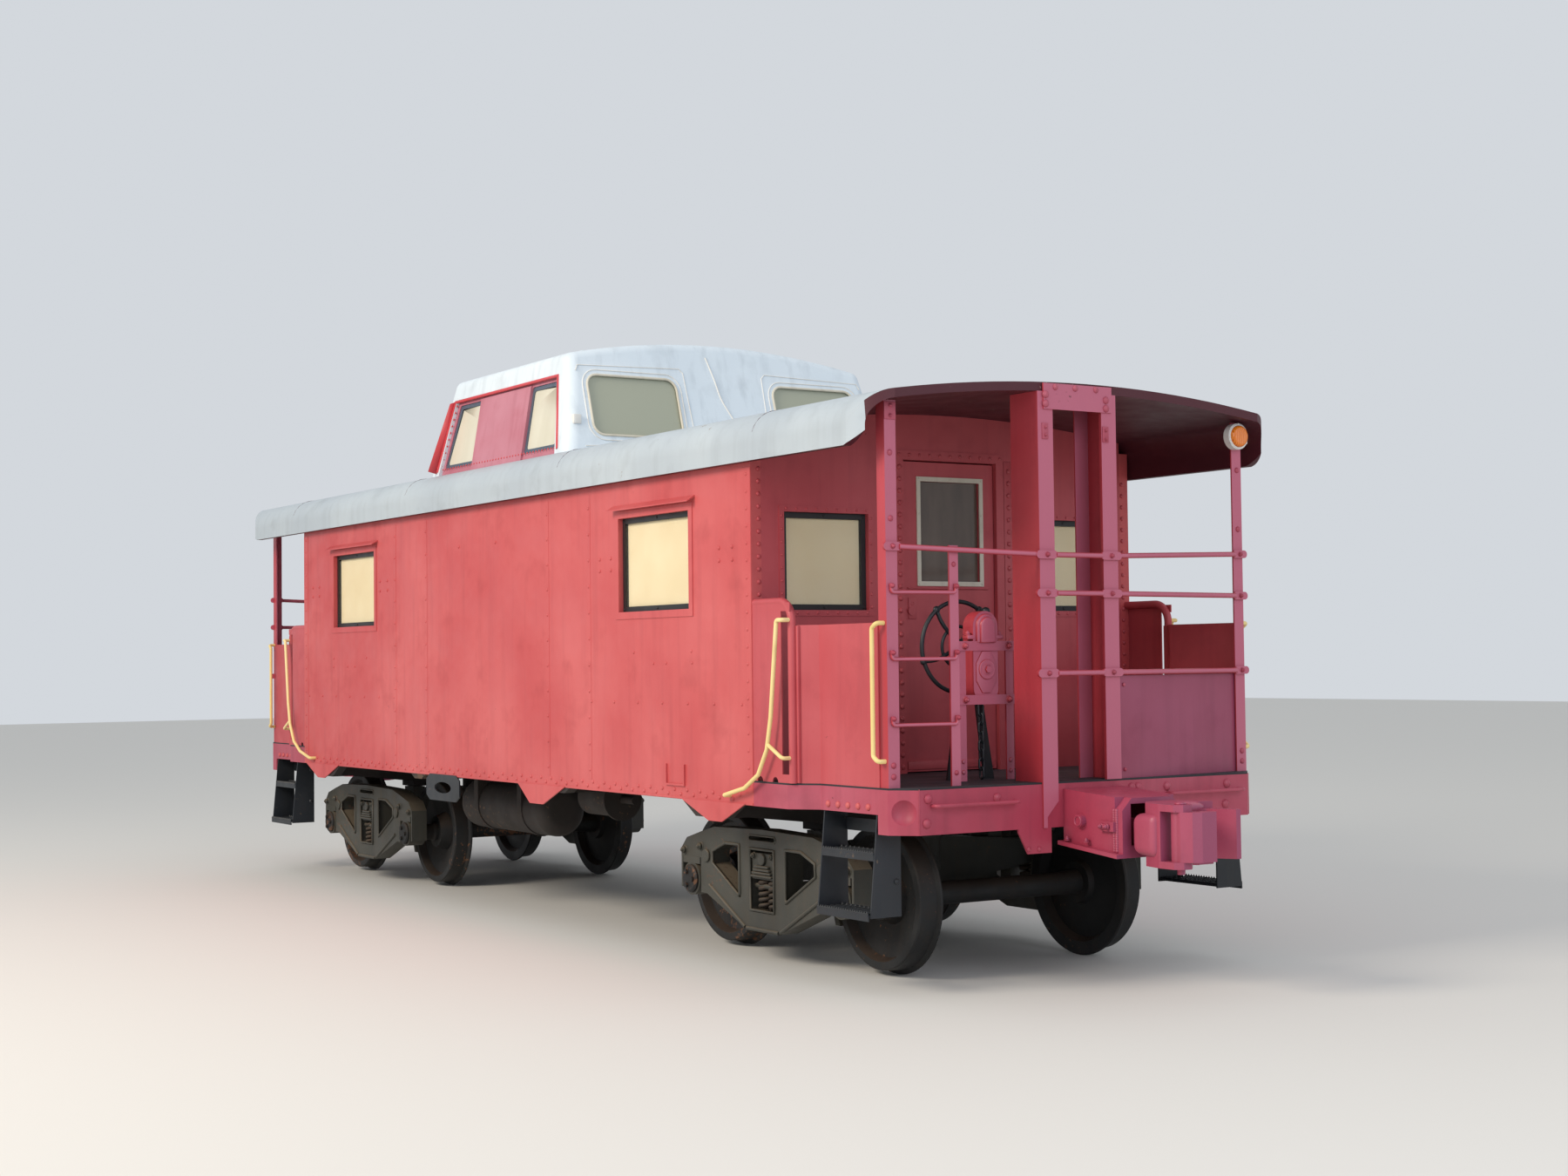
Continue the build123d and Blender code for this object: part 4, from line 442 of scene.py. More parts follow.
# Drawn blinds: warm matt cream with faint stains and a woven thread.
blind_cloth, tree, shader, place = new_material("Cream blind cloth")
stains = noise(tree, place, 1000 / 3.5, 5.0)
tree.links.new(mixed(tree, stains, linear("#FBEDC6"), linear("#EAD3A4")), shader.inputs["Base Color"])
shader.inputs["Roughness"].default_value = 0.85
threads = noise(tree, place, 1000 / 700, 2.0)
tree.links.new(bump(tree, threads, 0.0003), shader.inputs["Normal"])

# The lens: glossy orange plastic with moulded ribs.
amber, tree, shader, place = new_material("Amber lens plastic")
rib_inputs = {"Vector": place, "Scale": 26.0, "Distortion": 0.0}
ribs = add_node(tree, "ShaderNodeTexWave", rib_inputs, bands_direction="Y").outputs["Fac"]
tree.links.new(mixed(tree, ribs, linear("#D9680F"), linear("#F08A28")), shader.inputs["Base Color"])
shader.inputs["Roughness"].default_value = 0.12
tree.links.new(bump(tree, ribs, 0.002), shader.inputs["Normal"])

# %% Give each solid its material
node_paints = {
    red_paint: ["side_wall_ladder_side", "side_wall_far_side"],
    shaded_end_red_paint: ["end_wall_near", "end_wall_far", "door_near", "door_far", "quarter_panels", "step_closures"],
    post_paint: ["end_posts", "corner_posts", "ladders", "guard_rails", "hand_brake_stands"],
    dark_red_paint: ["end_sills", "sill_grabs"],
    coupler_paint: ["draft_boxes", "couplers", "knuckle_near", "knuckle_far"],
    shaded_panel_paint: ["end_panels"],
    roof_paint: ["roof"],
    cupola_paint: ["cupola_shell"],
    cupola_red: ["cupola_sides"],
    truck_paint: [
        f"truck_{end}_{piece}"
        for end in ("near", "far")
        for piece in ("frames", "bolster", "springs", "brakes")
    ],
    step_paint: ["steps"],
    wheel_steel: ["wheelset_1", "wheelset_2", "wheelset_3", "wheelset_4"],
    underframe_paint: ["underframe", "air_reservoir", "brake_cylinder", "brake_rods"],
    deck_paint: ["deck"],
    yellow_paint: ["grab_irons"],
    sash_paint: ["window_sashes"],
    grey_sash_paint: ["cupola_sashes"],
    trim_paint: ["door_window_trim_near", "door_window_trim_far"],
    iron_paint: ["hand_brake_wheels", "hand_brake_chains", "hand_brake_pedestals"],
    lamp_white_paint: ["lamp_housing"],
    amber: ["lamp_lens"],
    window_glass: ["window_glass"],
    door_glass: ["door_window_glass_near", "door_window_glass_far"],
    cupola_glass: ["cupola_glass"],
    blind_cloth: ["window_blinds"],
}
for material, names in node_paints.items():
    for name in names:
        for material_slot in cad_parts[name].material_slots:
            material_slot.material = material
print("materials", len(node_paints))

# %% [markdown]
# Fasteners. Hundreds of rivets and bolts hold the sheets. Each kind is modelled once as a small
# pattern mesh with few faces, then stamped wherever the car has one, because their highlights
# and shadows are what tells a riveted steel car from a plain box.

# %% Shapes that every cell uses
half_turn = Matrix.Rotation(math.pi, 3, "Z")
lie_along_x = Matrix.Rotation(math.pi / 2, 3, "Y")
stand_up = Matrix.Rotation(math.pi / 2, 3, "X")
side_outward, end_outward, upward_face = (0, -1, 0), (1, 0, 0), (0, 0, 1)
origin = (0, 0, 0)


def merge(builder, part):
    """Add a finished bmesh to a larger one."""
    data = to_mesh("part", part)
    builder.from_mesh(data)
    bpy.data.meshes.remove(data)


def put(builder, part, place, size=(1, 1, 1)):
    """Size a part about its own middle, move it to its place and merge it."""
    bmesh.ops.scale(part, vec=size, verts=part.verts)
    bmesh.ops.translate(part, vec=place, verts=part.verts)
    merge(builder, part)


def new_of(result, kind=bmesh.types.BMVert):
    """What a bmesh operator has just made, of one kind."""
    return [item for item in result["geom"] if isinstance(item, kind)]


def everything(part):
    return part.verts[:] + part.edges[:] + part.faces[:]


def soften(part, edges, offset, segments=2):
    """Round the edges off."""
    bmesh.ops.bevel(
        part, geom=edges, offset=offset, segments=segments, affect="EDGES", profile=0.5, material=-1
    )


def thicken(part, by):
    """Draw flat faces out into a solid, by a vector."""
    drawn = bmesh.ops.extrude_face_region(part, geom=part.faces[:])
    bmesh.ops.translate(part, vec=by, verts=new_of(drawn))
    bmesh.ops.recalc_face_normals(part, faces=part.faces)


def aimed(place, outward):
    """The matrix that turns a shape's z towards outward and puts it at place."""
    turned = Vector(outward).to_track_quat("Z", "Y").to_matrix().to_4x4()
    return Matrix.Translation(place) @ turned


def stamp(builder, pattern, place, outward, size=1.0):
    """Put one fastener on a face that looks outward."""
    copy = pattern.copy()
    copy.transform(aimed(place, outward) @ Matrix.Scale(size, 4))
    builder.from_mesh(copy)
    bpy.data.meshes.remove(copy)


def stamp_row(builder, pattern, start, end, pitch, outward, size=1.0):
    """Fasteners at an even pitch from start to end."""
    first, last = Vector(start), Vector(end)
    steps = max(1, round((last - first).length / pitch))
    for step in range(steps + 1):
        stamp(builder, pattern, first.lerp(last, step / steps), outward, size)


def add_half_turn(builder, centre=origin):
    """Repeat the shape, turned half round about a centre."""
    made = bmesh.ops.duplicate(builder, geom=everything(builder))
    bmesh.ops.rotate(builder, cent=centre, matrix=half_turn, verts=new_of(made))


def on_both_ends(name, builder, material, body, replaced=None):
    """The near end's piece, and the same turned half round, each riding on its own body."""
    far = builder.copy()
    bmesh.ops.rotate(far, cent=origin, matrix=half_turn, verts=far.verts)
    near_piece = new_object(f"{name}_near", builder, material, f"{body}_near")
    far_piece = new_object(f"{name}_far", far, material, f"{body}_far")
    if replaced:
        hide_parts(f"{body}_near_{replaced}")
        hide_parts(f"{body}_far_{replaced}")


def plate(builder, low, high, edge=0.002):
    """A flat piece between two corners, with its edges softened."""
    part = bmesh.new()
    bmesh.ops.create_cube(part, size=1)
    size = Vector(high) - Vector(low)
    bmesh.ops.scale(part, vec=size, verts=part.verts)
    bmesh.ops.translate(part, vec=Vector(low) + size / 2, verts=part.verts)
    soften(part, part.edges[:], edge)
    merge(builder, part)


def bar(builder, points, radius, closed=False, smooth=False):
    """A round bar along a line through the points, its ends closed."""
    line_data = bpy.data.curves.new("bar", "CURVE")
    line_data.dimensions = "3D"
    line_data.bevel_depth = radius
    line_data.bevel_resolution = 2
    line_data.use_fill_caps = True
    line_data.resolution_u = 6
    line = line_data.splines.new("NURBS" if smooth else "POLY")
    line.points.add(len(points) - 1)
    for point, place in zip(line.points, points):
        point.co = (*place, 1)
    line.use_cyclic_u = closed
    if smooth:
        line.order_u = 3
        line.use_endpoint_u = not closed
    holder = bpy.data.objects.new("bar", line_data)
    data = bpy.data.meshes.new_from_object(holder)
    builder.from_mesh(data)
    bpy.data.meshes.remove(data)
    bpy.data.objects.remove(holder)
    bpy.data.curves.remove(line_data)


def ring(builder, centre, outward, radius, thickness, sides=10, steps=48):
    """A closed round ring: a small circle spun once round."""
    part = bmesh.new()
    bmesh.ops.create_circle(part, segments=sides, radius=thickness)
    bmesh.ops.rotate(part, cent=origin, matrix=stand_up, verts=part.verts)
    bmesh.ops.translate(part, vec=(radius, 0, 0), verts=part.verts)
    bmesh.ops.spin(
        part,
        geom=part.verts[:] + part.edges[:],
        cent=origin,
        axis=(0, 0, 1),
        angle=2 * math.pi,
        steps=steps,
        use_merge=True,
    )
    bmesh.ops.remove_doubles(part, verts=part.verts, dist=1e-6)
    bmesh.ops.recalc_face_normals(part, faces=part.faces)
    bmesh.ops.transform(part, matrix=aimed(centre, outward), verts=part.verts)
    merge(builder, part)


def drum(builder, centre, outward, radius, height, edge, sides=32):
    """A turned piece with a rounded outer edge, standing on centre."""
    part = bmesh.new()
    bmesh.ops.create_cone(part, cap_ends=True, segments=sides, radius1=radius, radius2=radius, depth=height)
    bmesh.ops.translate(part, vec=(0, 0, height / 2), verts=part.verts)
    soften(part, [e for e in part.edges if min(v.co.z for v in e.verts) > height * 0.9], edge, 3)
    bmesh.ops.transform(part, matrix=aimed(centre, outward), verts=part.verts)
    merge(builder, part)


# %% Fastener patterns
rivet_part = bmesh.new()
bmesh.ops.create_uvsphere(rivet_part, u_segments=8, v_segments=5, radius=0.008)
bmesh.ops.scale(rivet_part, vec=(1.6, 1.6, 1.0), verts=rivet_part.verts)
rivet_pattern = to_mesh("rivet", rivet_part)

# A bolt is a washer, a six-sided head and the bolt's round tip.
bolt_part = bmesh.new()
bmesh.ops.create_cone(bolt_part, cap_ends=True, segments=16, radius1=0.022, radius2=0.021, depth=0.006)
head = bmesh.ops.create_cone(bolt_part, cap_ends=True, segments=6, radius1=0.017, radius2=0.016, depth=0.016)
bmesh.ops.translate(bolt_part, vec=(0, 0, 0.01), verts=head["verts"])
tip = bmesh.ops.create_uvsphere(bolt_part, u_segments=8, v_segments=5, radius=0.01)
bmesh.ops.translate(bolt_part, vec=(0, 0, 0.018), verts=tip["verts"])
bolt_pattern = to_mesh("bolt", bolt_part)
print("patterns", len(rivet_pattern.polygons), len(bolt_pattern.polygons))

# %% Faces that carry the fasteners
# Read from the frame, so that what is stamped there follows the solids.
side_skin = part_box("quarter_panels")[0][1]
body_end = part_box("side_wall_ladder_side")[1][0]
end_frame_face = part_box("end_wall_near")[1][0]
door_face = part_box("door_window_trim_near")[0][0]
door_trim_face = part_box("door_window_trim_near")[1][0]
post_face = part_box("end_posts")[1][0]
corner_post_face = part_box("corner_posts")[1][0]
sill_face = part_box("end_sills")[1][0]
stand_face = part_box("hand_brake_stands")[1][0] - 0.03
truck_middle = (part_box("truck_near_springs")[0][0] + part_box("truck_near_springs")[1][0]) / 2
lens_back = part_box("lamp_lens")[0][0]
off_sheet = 0.0002  # a rivet's middle stands this far off its sheet
print("side", round(side_skin, 4), "end", round(end_frame_face, 4), "truck", round(truck_middle, 4))

# %% [markdown]
# Rivets of the side walls. A double zigzag row runs along the sill, single columns mark the
# corner and the seams of the sheets, and a few short groups stand between them. The far side is
# the same wall turned half round.

# %% Side rivets
wall_y = side_skin - off_sheet
side_rivets = bmesh.new()


def side_row(start, end, pitch, size=1.0):
    """A row on the side wall between two points given as x and z."""
    places = [(x, wall_y, z) for x, z in (start, end)]
    stamp_row(side_rivets, rivet_pattern, *places, pitch, side_outward, size)


def side_rivet(x, z, size=1.0):
    stamp(side_rivets, rivet_pattern, (x, wall_y, z), side_outward, size)


side_row((-3.51, 1.042), (3.51, 1.042), 0.153)
side_row((-3.433, 1.0155), (3.433, 1.0155), 0.153)
for end in (1, -1):
    side_row((end * 3.612, 2.9), (end * 3.612, 1.1), 0.0985)
    for seam in (1.033, 1.64):
        side_row((end * seam, 2.83), (end * seam, 1.12), 0.163)
    for group in (1.797, 3.3):
        for x, z in ((x, z) for x in (group, group + 0.149) for z in (2.411, 2.487)):
            side_rivet(end * x, z)
    side_row((end * 1.668, 1.565), (end * 3.54, 1.565), 0.31, 0.8)
    for x, z in ((2.244, 1.88), (2.965, 1.88), (2.496, 1.81), (2.655, 1.81), (2.972, 1.81)):
        side_rivet(end * x, z, 0.8)
for x in (0.21, -0.42):
    side_rivet(x, 2.6845)
# Five large heads on the side of the end sill, over the steps.
sill_side_y, first_head, head_pitch = -1.3185, 4.246, 0.0965
for step in range(5):
    for end in (1, -1):
        place = (end * (first_head + head_pitch * step), sill_side_y, 1.022)
        stamp(side_rivets, rivet_pattern, place, side_outward, 1.6)
add_half_turn(side_rivets)
new_object("side_rivets", side_rivets, red_paint)

# %% [markdown]
# The side walls end below in a pressed angle, and thin lap strips cover the seams. The angle's
# edge catches a line of light along the whole car. Below it hang plates: red tapered ones, and
# a dark one with an oval hole.

# %% Sill angle and lap strips
strip_back = -1.4385
laps = bmesh.new()
plate(laps, (-3.655, -1.4445, 0.987), (3.655, strip_back, 0.999), 0.0015)
for seam, half_width, front, top, edge in (
    (3.612, 0.045, -1.4425, 2.94, 0.0008),
    (1.64, 0.024, -1.4418, 2.92, 0.0006),
    (1.033, 0.024, -1.4418, 2.92, 0.0006),
):
    for x in (-seam, seam):
        plate(laps, (x - half_width, front, 1.06), (x + half_width, strip_back, top), edge)
add_half_turn(laps)
new_object("lap_strips", laps, red_paint, smooth=False)

# %% Sill brackets
bracket_face, bracket_back = -1.4515, -1.4415
bracket_depth = (0, bracket_back - bracket_face, 0)
bracket_top = 0.992
brackets = bmesh.new()
for left, low_left, low_right, right, foot in (
    (2.84, 3.165, 3.315, 3.58, 0.875),
    (0.57, 0.76, 0.96, 1.29, 0.86),
    (-3.6, -3.315, -3.165, -2.84, 0.875),
):
    outline = ((left, bracket_top), (low_left, foot), (low_right, foot), (right, bracket_top))
    bracket = bmesh.new()
    bracket.faces.new([bracket.verts.new((x, bracket_face, z)) for x, z in outline])
    thicken(bracket, bracket_depth)
    merge(brackets, bracket)
add_half_turn(brackets)
new_object("sill_brackets", brackets, red_paint, smooth=False)

# The plate's rim and its hole are joined by one face for each of these steps round the hole.
hole_x, hole_z, hole_half_length, hole_half_height, hole_steps = -0.715, 0.9, 0.15, 0.042, 32
plate_half_length, plate_half_height = 0.3, 0.098
never_zero = 1e-6
hole_plate = bmesh.new()
rims = []
for step in range(hole_steps):
    angle = 2 * math.pi * step / hole_steps
    across, high = math.cos(angle), math.sin(angle)
    reach = min(
        plate_half_length / max(abs(across), never_zero), plate_half_height / max(abs(high), never_zero)
    )
    outer = (hole_x + across * reach, bracket_face, hole_z + high * reach)
    inner = (hole_x + hole_half_length * across, bracket_face, hole_z + hole_half_height * high)
    rims.append([hole_plate.verts.new(point) for point in (outer, inner)])
for (outer, inner), (next_outer, next_inner) in zip(rims, rims[1:] + rims[:1]):
    hole_plate.faces.new((outer, next_outer, next_inner, inner))
thicken(hole_plate, bracket_depth)
add_half_turn(hole_plate)
new_object("sill_hole_plates", hole_plate, iron_paint, smooth=False)

# %% [markdown]
# The end walls: a close column at each corner, rivets all round the window frames, and strips
# beside the door with larger heads.

# %% End wall rivets
end_rivets = bmesh.new()


def end_row(x, start, end, pitch, size):
    """A row on the end wall between two points given as y and z."""
    places = [(x, y, z) for y, z in (start, end)]
    stamp_row(end_rivets, rivet_pattern, *places, pitch, end_outward, size)


strip_face = body_end + 0.008
frame_rivet_x = end_frame_face + 0.0003
for side in (1, -1):
    end_row(body_end + 0.0005, (side * 1.388, 2.93), (side * 1.388, 1.18), 0.0735, 1.15)
    for z in (2.7045, 2.0945):
        end_row(frame_rivet_x, (side * 1.2, z), (side * 0.63, z), 0.0725, 0.72)
    for y in (1.232, 0.598):
        end_row(frame_rivet_x, (side * y, 2.66), (side * y, 2.13), 0.0735, 0.72)
for y in (0.449, -0.449):
    plate(end_rivets, (body_end - 0.001, y - 0.033, 1.134), (strip_face, y + 0.033, 3.04))
end_row(strip_face + off_sheet, (0.449, 2.98), (0.449, 1.17), 0.075, 1.3)
end_row(end_frame_face + off_sheet, (-0.385, 2.98), (-0.385, 1.17), 0.0735, 1.3)
end_row(end_frame_face + off_sheet, (-0.385, 3.055), (0.385, 3.055), 0.077, 0.9)
add_half_turn(end_rivets)
new_object("end_wall_rivets", end_rivets, shaded_end_red_paint)

# %% [markdown]
# The doors carry a drip ledge under the glass, a kick ledge at the foot and a keyhole plate. They
# ride with their doors, so each door gets its own copy.

# %% Door fittings
ledges = bmesh.new()
for low_y, high_y, low_z, high_z, depth, edge in (
    (-0.315, 0.3, 2.243, 2.253, 0.012, 0.003),
    (-0.33, 0.33, 1.15, 1.2, 0.008, 0.003),
    (-0.31, -0.25, 2.06, 2.19, 0.006, 0.002),
):
    plate(ledges, (door_face - 0.001, low_y, low_z), (door_face + depth, high_y, high_z), edge)
ring(ledges, (door_face + 0.005, -0.28, 2.155), end_outward, 0.011, 0.003, 8, 20)
on_both_ends("door_ledges", ledges, shaded_end_red_paint, "door")

trim_left, trim_middle, trim_right = -0.226, 0.013, 0.252
across_places = [(y, z) for y in (trim_left, trim_middle, trim_right) for z in (2.276, 2.914)]
upright_places = [(y, z) for z in (2.49, 2.70) for y in (trim_left, trim_right)]
trim_screws = bmesh.new()
for y, z in across_places + upright_places:
    stamp(trim_screws, rivet_pattern, (door_trim_face + off_sheet, y, z), end_outward, 0.55)
on_both_ends("door_trim_screws", trim_screws, trim_paint, "door")

# %% [markdown]
# Bolts and rivets of the platform: the header plate, the small plates on the posts, the eyes of
# the guard rails, the ladder's rungs, the corner posts and the end sill.

# %% Platform fasteners
platform_bolts = bmesh.new()


def platform_rivet(x, y, z, size):
    stamp(platform_bolts, rivet_pattern, (x, y, z), end_outward, size)


def platform_bolt(x, y, z, size):
    stamp(platform_bolts, bolt_pattern, (x, y, z), end_outward, size)


for y, z in ((-0.31, 3.2785), (-0.31, 3.2275), (0.128, 3.2685), (0.128, 3.2215)):
    platform_rivet(post_face + off_sheet, y, z, 1.8)
for y in (-0.239, -0.095, 0.056):
    platform_rivet(post_face + off_sheet, y, 3.323, 1.5)
# A small plate with two bolts on each channel post.
plate_back, plate_front, plate_half_width = 4.944, 4.951, 0.022
for y, heights in ((-0.311, (3.0975, 3.0535)), (0.129, (3.0985, 3.0475))):
    low, high = (plate_back, y - plate_half_width, 3.03), (plate_front, y + plate_half_width, 3.12)
    plate(platform_bolts, low, high)
    for z in heights:
        platform_bolt(plate_front, y, z, 0.55)
# Eyes of the guard rails, at the channel posts and at the corner posts.
post_eye_x, corner_eye_x = post_face + 0.006, corner_post_face + 0.016
for z in (2.388, 2.175, 1.731):
    for y in (-0.319, 0.149):
        platform_bolt(post_eye_x, y, z, 0.75)
for y, z in ((1.275, 2.423), (1.275, 2.175), (1.275, 1.731), (-1.275, 2.423)):
    platform_bolt(corner_eye_x, y, z, 0.75)
# A bolt above each rung of the ladder, on both stiles.
bolt_rise = 0.034
for rung in (2.177, 1.818, 1.465):
    for x, y in ((4.831, -1.283), (4.873, -0.885)):
        platform_bolt(x, y, rung + bolt_rise, 0.7)
for z in (1.2, 2.33):
    platform_rivet(4.8545, -0.889, z, 1.2)
for side in (1, -1):
    low_y, high_y = sorted((side * 1.236, side * 1.312))
    plate(platform_bolts, (corner_post_face - 0.001, low_y, 3.105), (corner_post_face + 0.007, high_y, 3.2))
    for z in (3.18, 3.125):
        platform_bolt(corner_post_face + 0.007, side * 1.274, z, 0.6)
    for z in (2.927, 2.573, 1.19, 1.25):
        platform_rivet(corner_post_face + 0.0003, side * 1.276, z, 1.4)
# Heads on the end sill: across the car, up, and how large.
for y, z, size in (
    (-1.143, 1.0725, 2.2), (-1.154, 0.9425, 2.2), (-0.678, 1.0595, 2.2), (0.291, 1.0775, 2.2),
    (0.339, 1.078, 2.2), (0.559, 1.0745, 2.2), (1.026, 1.0715, 2.2), (1.012, 0.9525, 2.2),
    (-0.462, 0.7685, 1.2), (-0.389, 0.7665, 1.2),
):
    platform_rivet(sill_face + 0.0005, y, z, size)
for y in (-1.2, 1.2):
    plate(platform_bolts, (sill_face - 0.001, y - 0.003, 0.885), (sill_face + 0.0015, y + 0.003, 1.125), 0.001)
# The end panel slants back from the channel post to the corner post.
panel_start_x, panel_start_y, panel_slant = 4.936, 0.21, 0.1385
for y, z in ((0.25, 1.66), (1.26, 1.66), (0.25, 1.18), (1.26, 1.18)):
    platform_rivet(panel_start_x - (y - panel_start_y) * panel_slant, y, z, 0.9)
add_half_turn(platform_bolts)
new_object("platform_fasteners", platform_bolts, dark_red_paint)

# %% [markdown]
# A narrow strip covers the joint between each rounded quarter panel and the panel beside the steps.

# %% Joint strips
joint_strips = bmesh.new()
for side in (1, -1):
    low_y, high_y = sorted((side * 1.388, side * 1.406))
    plate(joint_strips, (4.03, low_y, 1.131), (4.085, high_y, 2.012), 0.003)
add_half_turn(joint_strips)
new_object("joint_strips", joint_strips, shaded_end_red_paint)

# %% [markdown]
# The hand brake. Its gear case is a casting with a domed crown, two ears, a plate with a round
# boss and heavy bolts through the cross bars. The wheel is forged: a round rim, an inner
# ring round the hub, curved spokes between them and a gripping knob.

# %% Gear case
brake_y = -0.44
case_back = stand_face - 0.004
case_details = bmesh.new()


def on_case(part, z):
    """Stand a part that was drawn flat upright on the case at height z, and merge it."""
    upright = Matrix(((0, 0, 1, case_back), (1, 0, 0, brake_y), (0, 1, 0, z), (0, 0, 0, 1)))
    bmesh.ops.transform(part, matrix=upright, verts=part.verts)
    merge(case_details, part)


# Two arched plates, one on the other: a half circle drawn down into straight sides.
touching = 1e-6
for radius, height in ((0.07, 0.02), (0.052, 0.034)):
    crown = bmesh.new()
    bmesh.ops.create_circle(crown, cap_ends=True, segments=40, radius=radius)
    bmesh.ops.bisect_plane(
        crown, geom=everything(crown), plane_co=origin, plane_no=(0, 1, 0), clear_inner=True
    )
    foot = [e for e in crown.edges if all(abs(v.co.y) < touching for v in e.verts)]
    drawn = bmesh.ops.extrude_edge_only(crown, edges=foot)
    bmesh.ops.translate(crown, vec=(0, -0.095, 0), verts=new_of(drawn))
    bmesh.ops.remove_doubles(crown, verts=crown.verts, dist=touching)
    thicken(crown, (0, 0, height))
    front = [e for e in crown.edges if min(v.co.z for v in e.verts) > height * 0.9]
    rim = [e for e in front if len(e.link_faces) == 2 and e.calc_face_angle(0) > 0.5]
    soften(crown, rim, 0.012, 3)
    on_case(crown, 2.0)

boss_plate = bmesh.new()
bmesh.ops.create_circle(boss_plate, cap_ends=True, segments=8, radius=0.1)
flat_side_up = Matrix.Rotation(math.pi / 8, 3, "Z")
bmesh.ops.rotate(boss_plate, cent=origin, matrix=flat_side_up, verts=boss_plate.verts)
bmesh.ops.scale(boss_plate, vec=(0.78, 1.28, 1), verts=boss_plate.verts)
thicken(boss_plate, (0, 0, 0.012))
soften(boss_plate, boss_plate.edges[:], 0.004)
on_case(boss_plate, 1.74)
ring(case_details, (stand_face + 0.009, brake_y, 1.755), end_outward, 0.05, 0.008)
ring(case_details, (stand_face + 0.014, brake_y, 1.755), end_outward, 0.028, 0.005)
for side in (1, -1):
    ear = sorted((side * 0.07, side * 0.128))
    plate(case_details, (4.5, brake_y + ear[0], 1.925), (4.553, brake_y + ear[1], 1.95), 0.006)
    stamp(case_details, bolt_pattern, (4.53, brake_y + side * 0.112, 1.95), upward_face, 0.9)
    for z in (1.888, 1.585):
        place = (stand_face + 0.01, brake_y + side * 0.155, z)
        stamp(case_details, bolt_pattern, place, end_outward)
    for z in (1.18, 1.24):
        stamp(case_details, rivet_pattern, (stand_face, brake_y + side * 0.169, z), end_outward, 1.1)
add_half_turn(case_details)
new_object("brake_case_details", case_details, post_paint)

# %% Hand wheel
wheel_centre = Vector((4.3, brake_y, 1.885))
hub_back = wheel_centre - Vector((0.03, 0, 0))
rim_radius, spokes, first_spoke = 0.261, 5, 54
hand_wheel = bmesh.new()
ring(hand_wheel, wheel_centre, end_outward, rim_radius, 0.0125, 12, 72)
ring(hand_wheel, wheel_centre, end_outward, 0.118, 0.01, 10, 48)
drum(hand_wheel, hub_back, end_outward, 0.045, 0.06, 0.006)
drum(hand_wheel, wheel_centre, end_outward, 0.018, 0.159, 0.003)
stamp(hand_wheel, bolt_pattern, hub_back, (-1, 0, 0), 1.2)
# A spoke's points: how far out, how far ahead in radians, how far forward.
spoke_points = ((0.03, 0, 0), (0.09, 0.10, 0.012), (0.16, 0.13, 0.012), (0.22, 0.06, 0.004), (0.262, 0, 0))
for spoke in range(spokes):
    straight = math.radians(first_spoke + 360 / spokes * spoke)
    points = []
    for reach, ahead, forwards in spoke_points:
        angle = straight + ahead
        points.append(wheel_centre + Vector((forwards, reach * math.cos(angle), reach * math.sin(angle))))
    bar(hand_wheel, points, 0.012, smooth=True)
    stamp(hand_wheel, rivet_pattern, points[-1], end_outward, 1.9)
knob_place = wheel_centre + Vector((0.0, 0.16, 0.205))
bar(hand_wheel, [knob_place, knob_place + Vector((0.05, 0, 0))], 0.011)
grip = bmesh.new()
bmesh.ops.create_uvsphere(grip, u_segments=16, v_segments=10, radius=0.024)
put(hand_wheel, grip, knob_place + Vector((0.052, 0, 0)), (1.2, 1, 1))
add_half_turn(hand_wheel)
wheels = new_object("forged_hand_wheels", hand_wheel, iron_paint)
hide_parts("hand_brake_wheels")

# %% [markdown]
# Truck springs: heavy coils on the lower chord, each with a smaller coil inside it. A spin with
# a rise per step winds a small circle into a coil.

# %% Coil springs
def coil(builder, centre, low, high, radius, wire, turns):
    """One coil spring, wound from low to high."""
    part = bmesh.new()
    bmesh.ops.create_circle(part, cap_ends=True, segments=8, radius=wire)
    bmesh.ops.rotate(part, cent=origin, matrix=stand_up, verts=part.verts)
    bmesh.ops.translate(part, vec=(radius, 0, low + wire), verts=part.verts)
    steps = 18 * turns
    bmesh.ops.spin(
        part,
        geom=everything(part),
        cent=origin,
        axis=(0, 0, 1),
        dvec=(0, 0, (high - low - 2 * wire) / steps),
        angle=2 * math.pi * turns,
        steps=steps,
        use_merge=False,
    )
    open_edges = [e for e in part.edges if len(e.link_faces) == 1]
    bmesh.ops.holes_fill(part, edges=open_edges, sides=0)
    bmesh.ops.remove_doubles(part, verts=part.verts, dist=1e-6)
    bmesh.ops.recalc_face_normals(part, faces=part.faces)
    bmesh.ops.translate(part, vec=(*centre, 0), verts=part.verts)
    merge(builder, part)


spring_low, spring_high = 0.3005, 0.4995
springs = bmesh.new()
for side in (1, -1):
    for offset in (-0.058, 0.058):
        spot = (truck_middle + offset, side * 1.01)
        coil(springs, spot, spring_low, spring_high, 0.0375, 0.0125, 5)
        coil(springs, spot, spring_low, spring_high, 0.0165, 0.0065, 8)
on_both_ends("coil_springs", springs, spring_steel, "truck", "springs")

# %% [markdown]
# The side frames are castings with a raised rim round every opening, a leafed plate where the
# bolster comes through, and bolts on the bearing boxes. Rims and plates stand on the outer face.

# %% Cast frame details
def frame_point(x, z, y=-1.076):
    """A point on the outer face of the near truck's side frame, x from the truck's middle."""
    return (truck_middle + x, y, z)


castings = bmesh.new()


def frame_bar(points, radius, closed=False, y=-1.076):
    """A rounded rib on the side frame through points given as x and z."""
    bar(castings, [frame_point(x, z, y) for x, z in points], radius, closed)


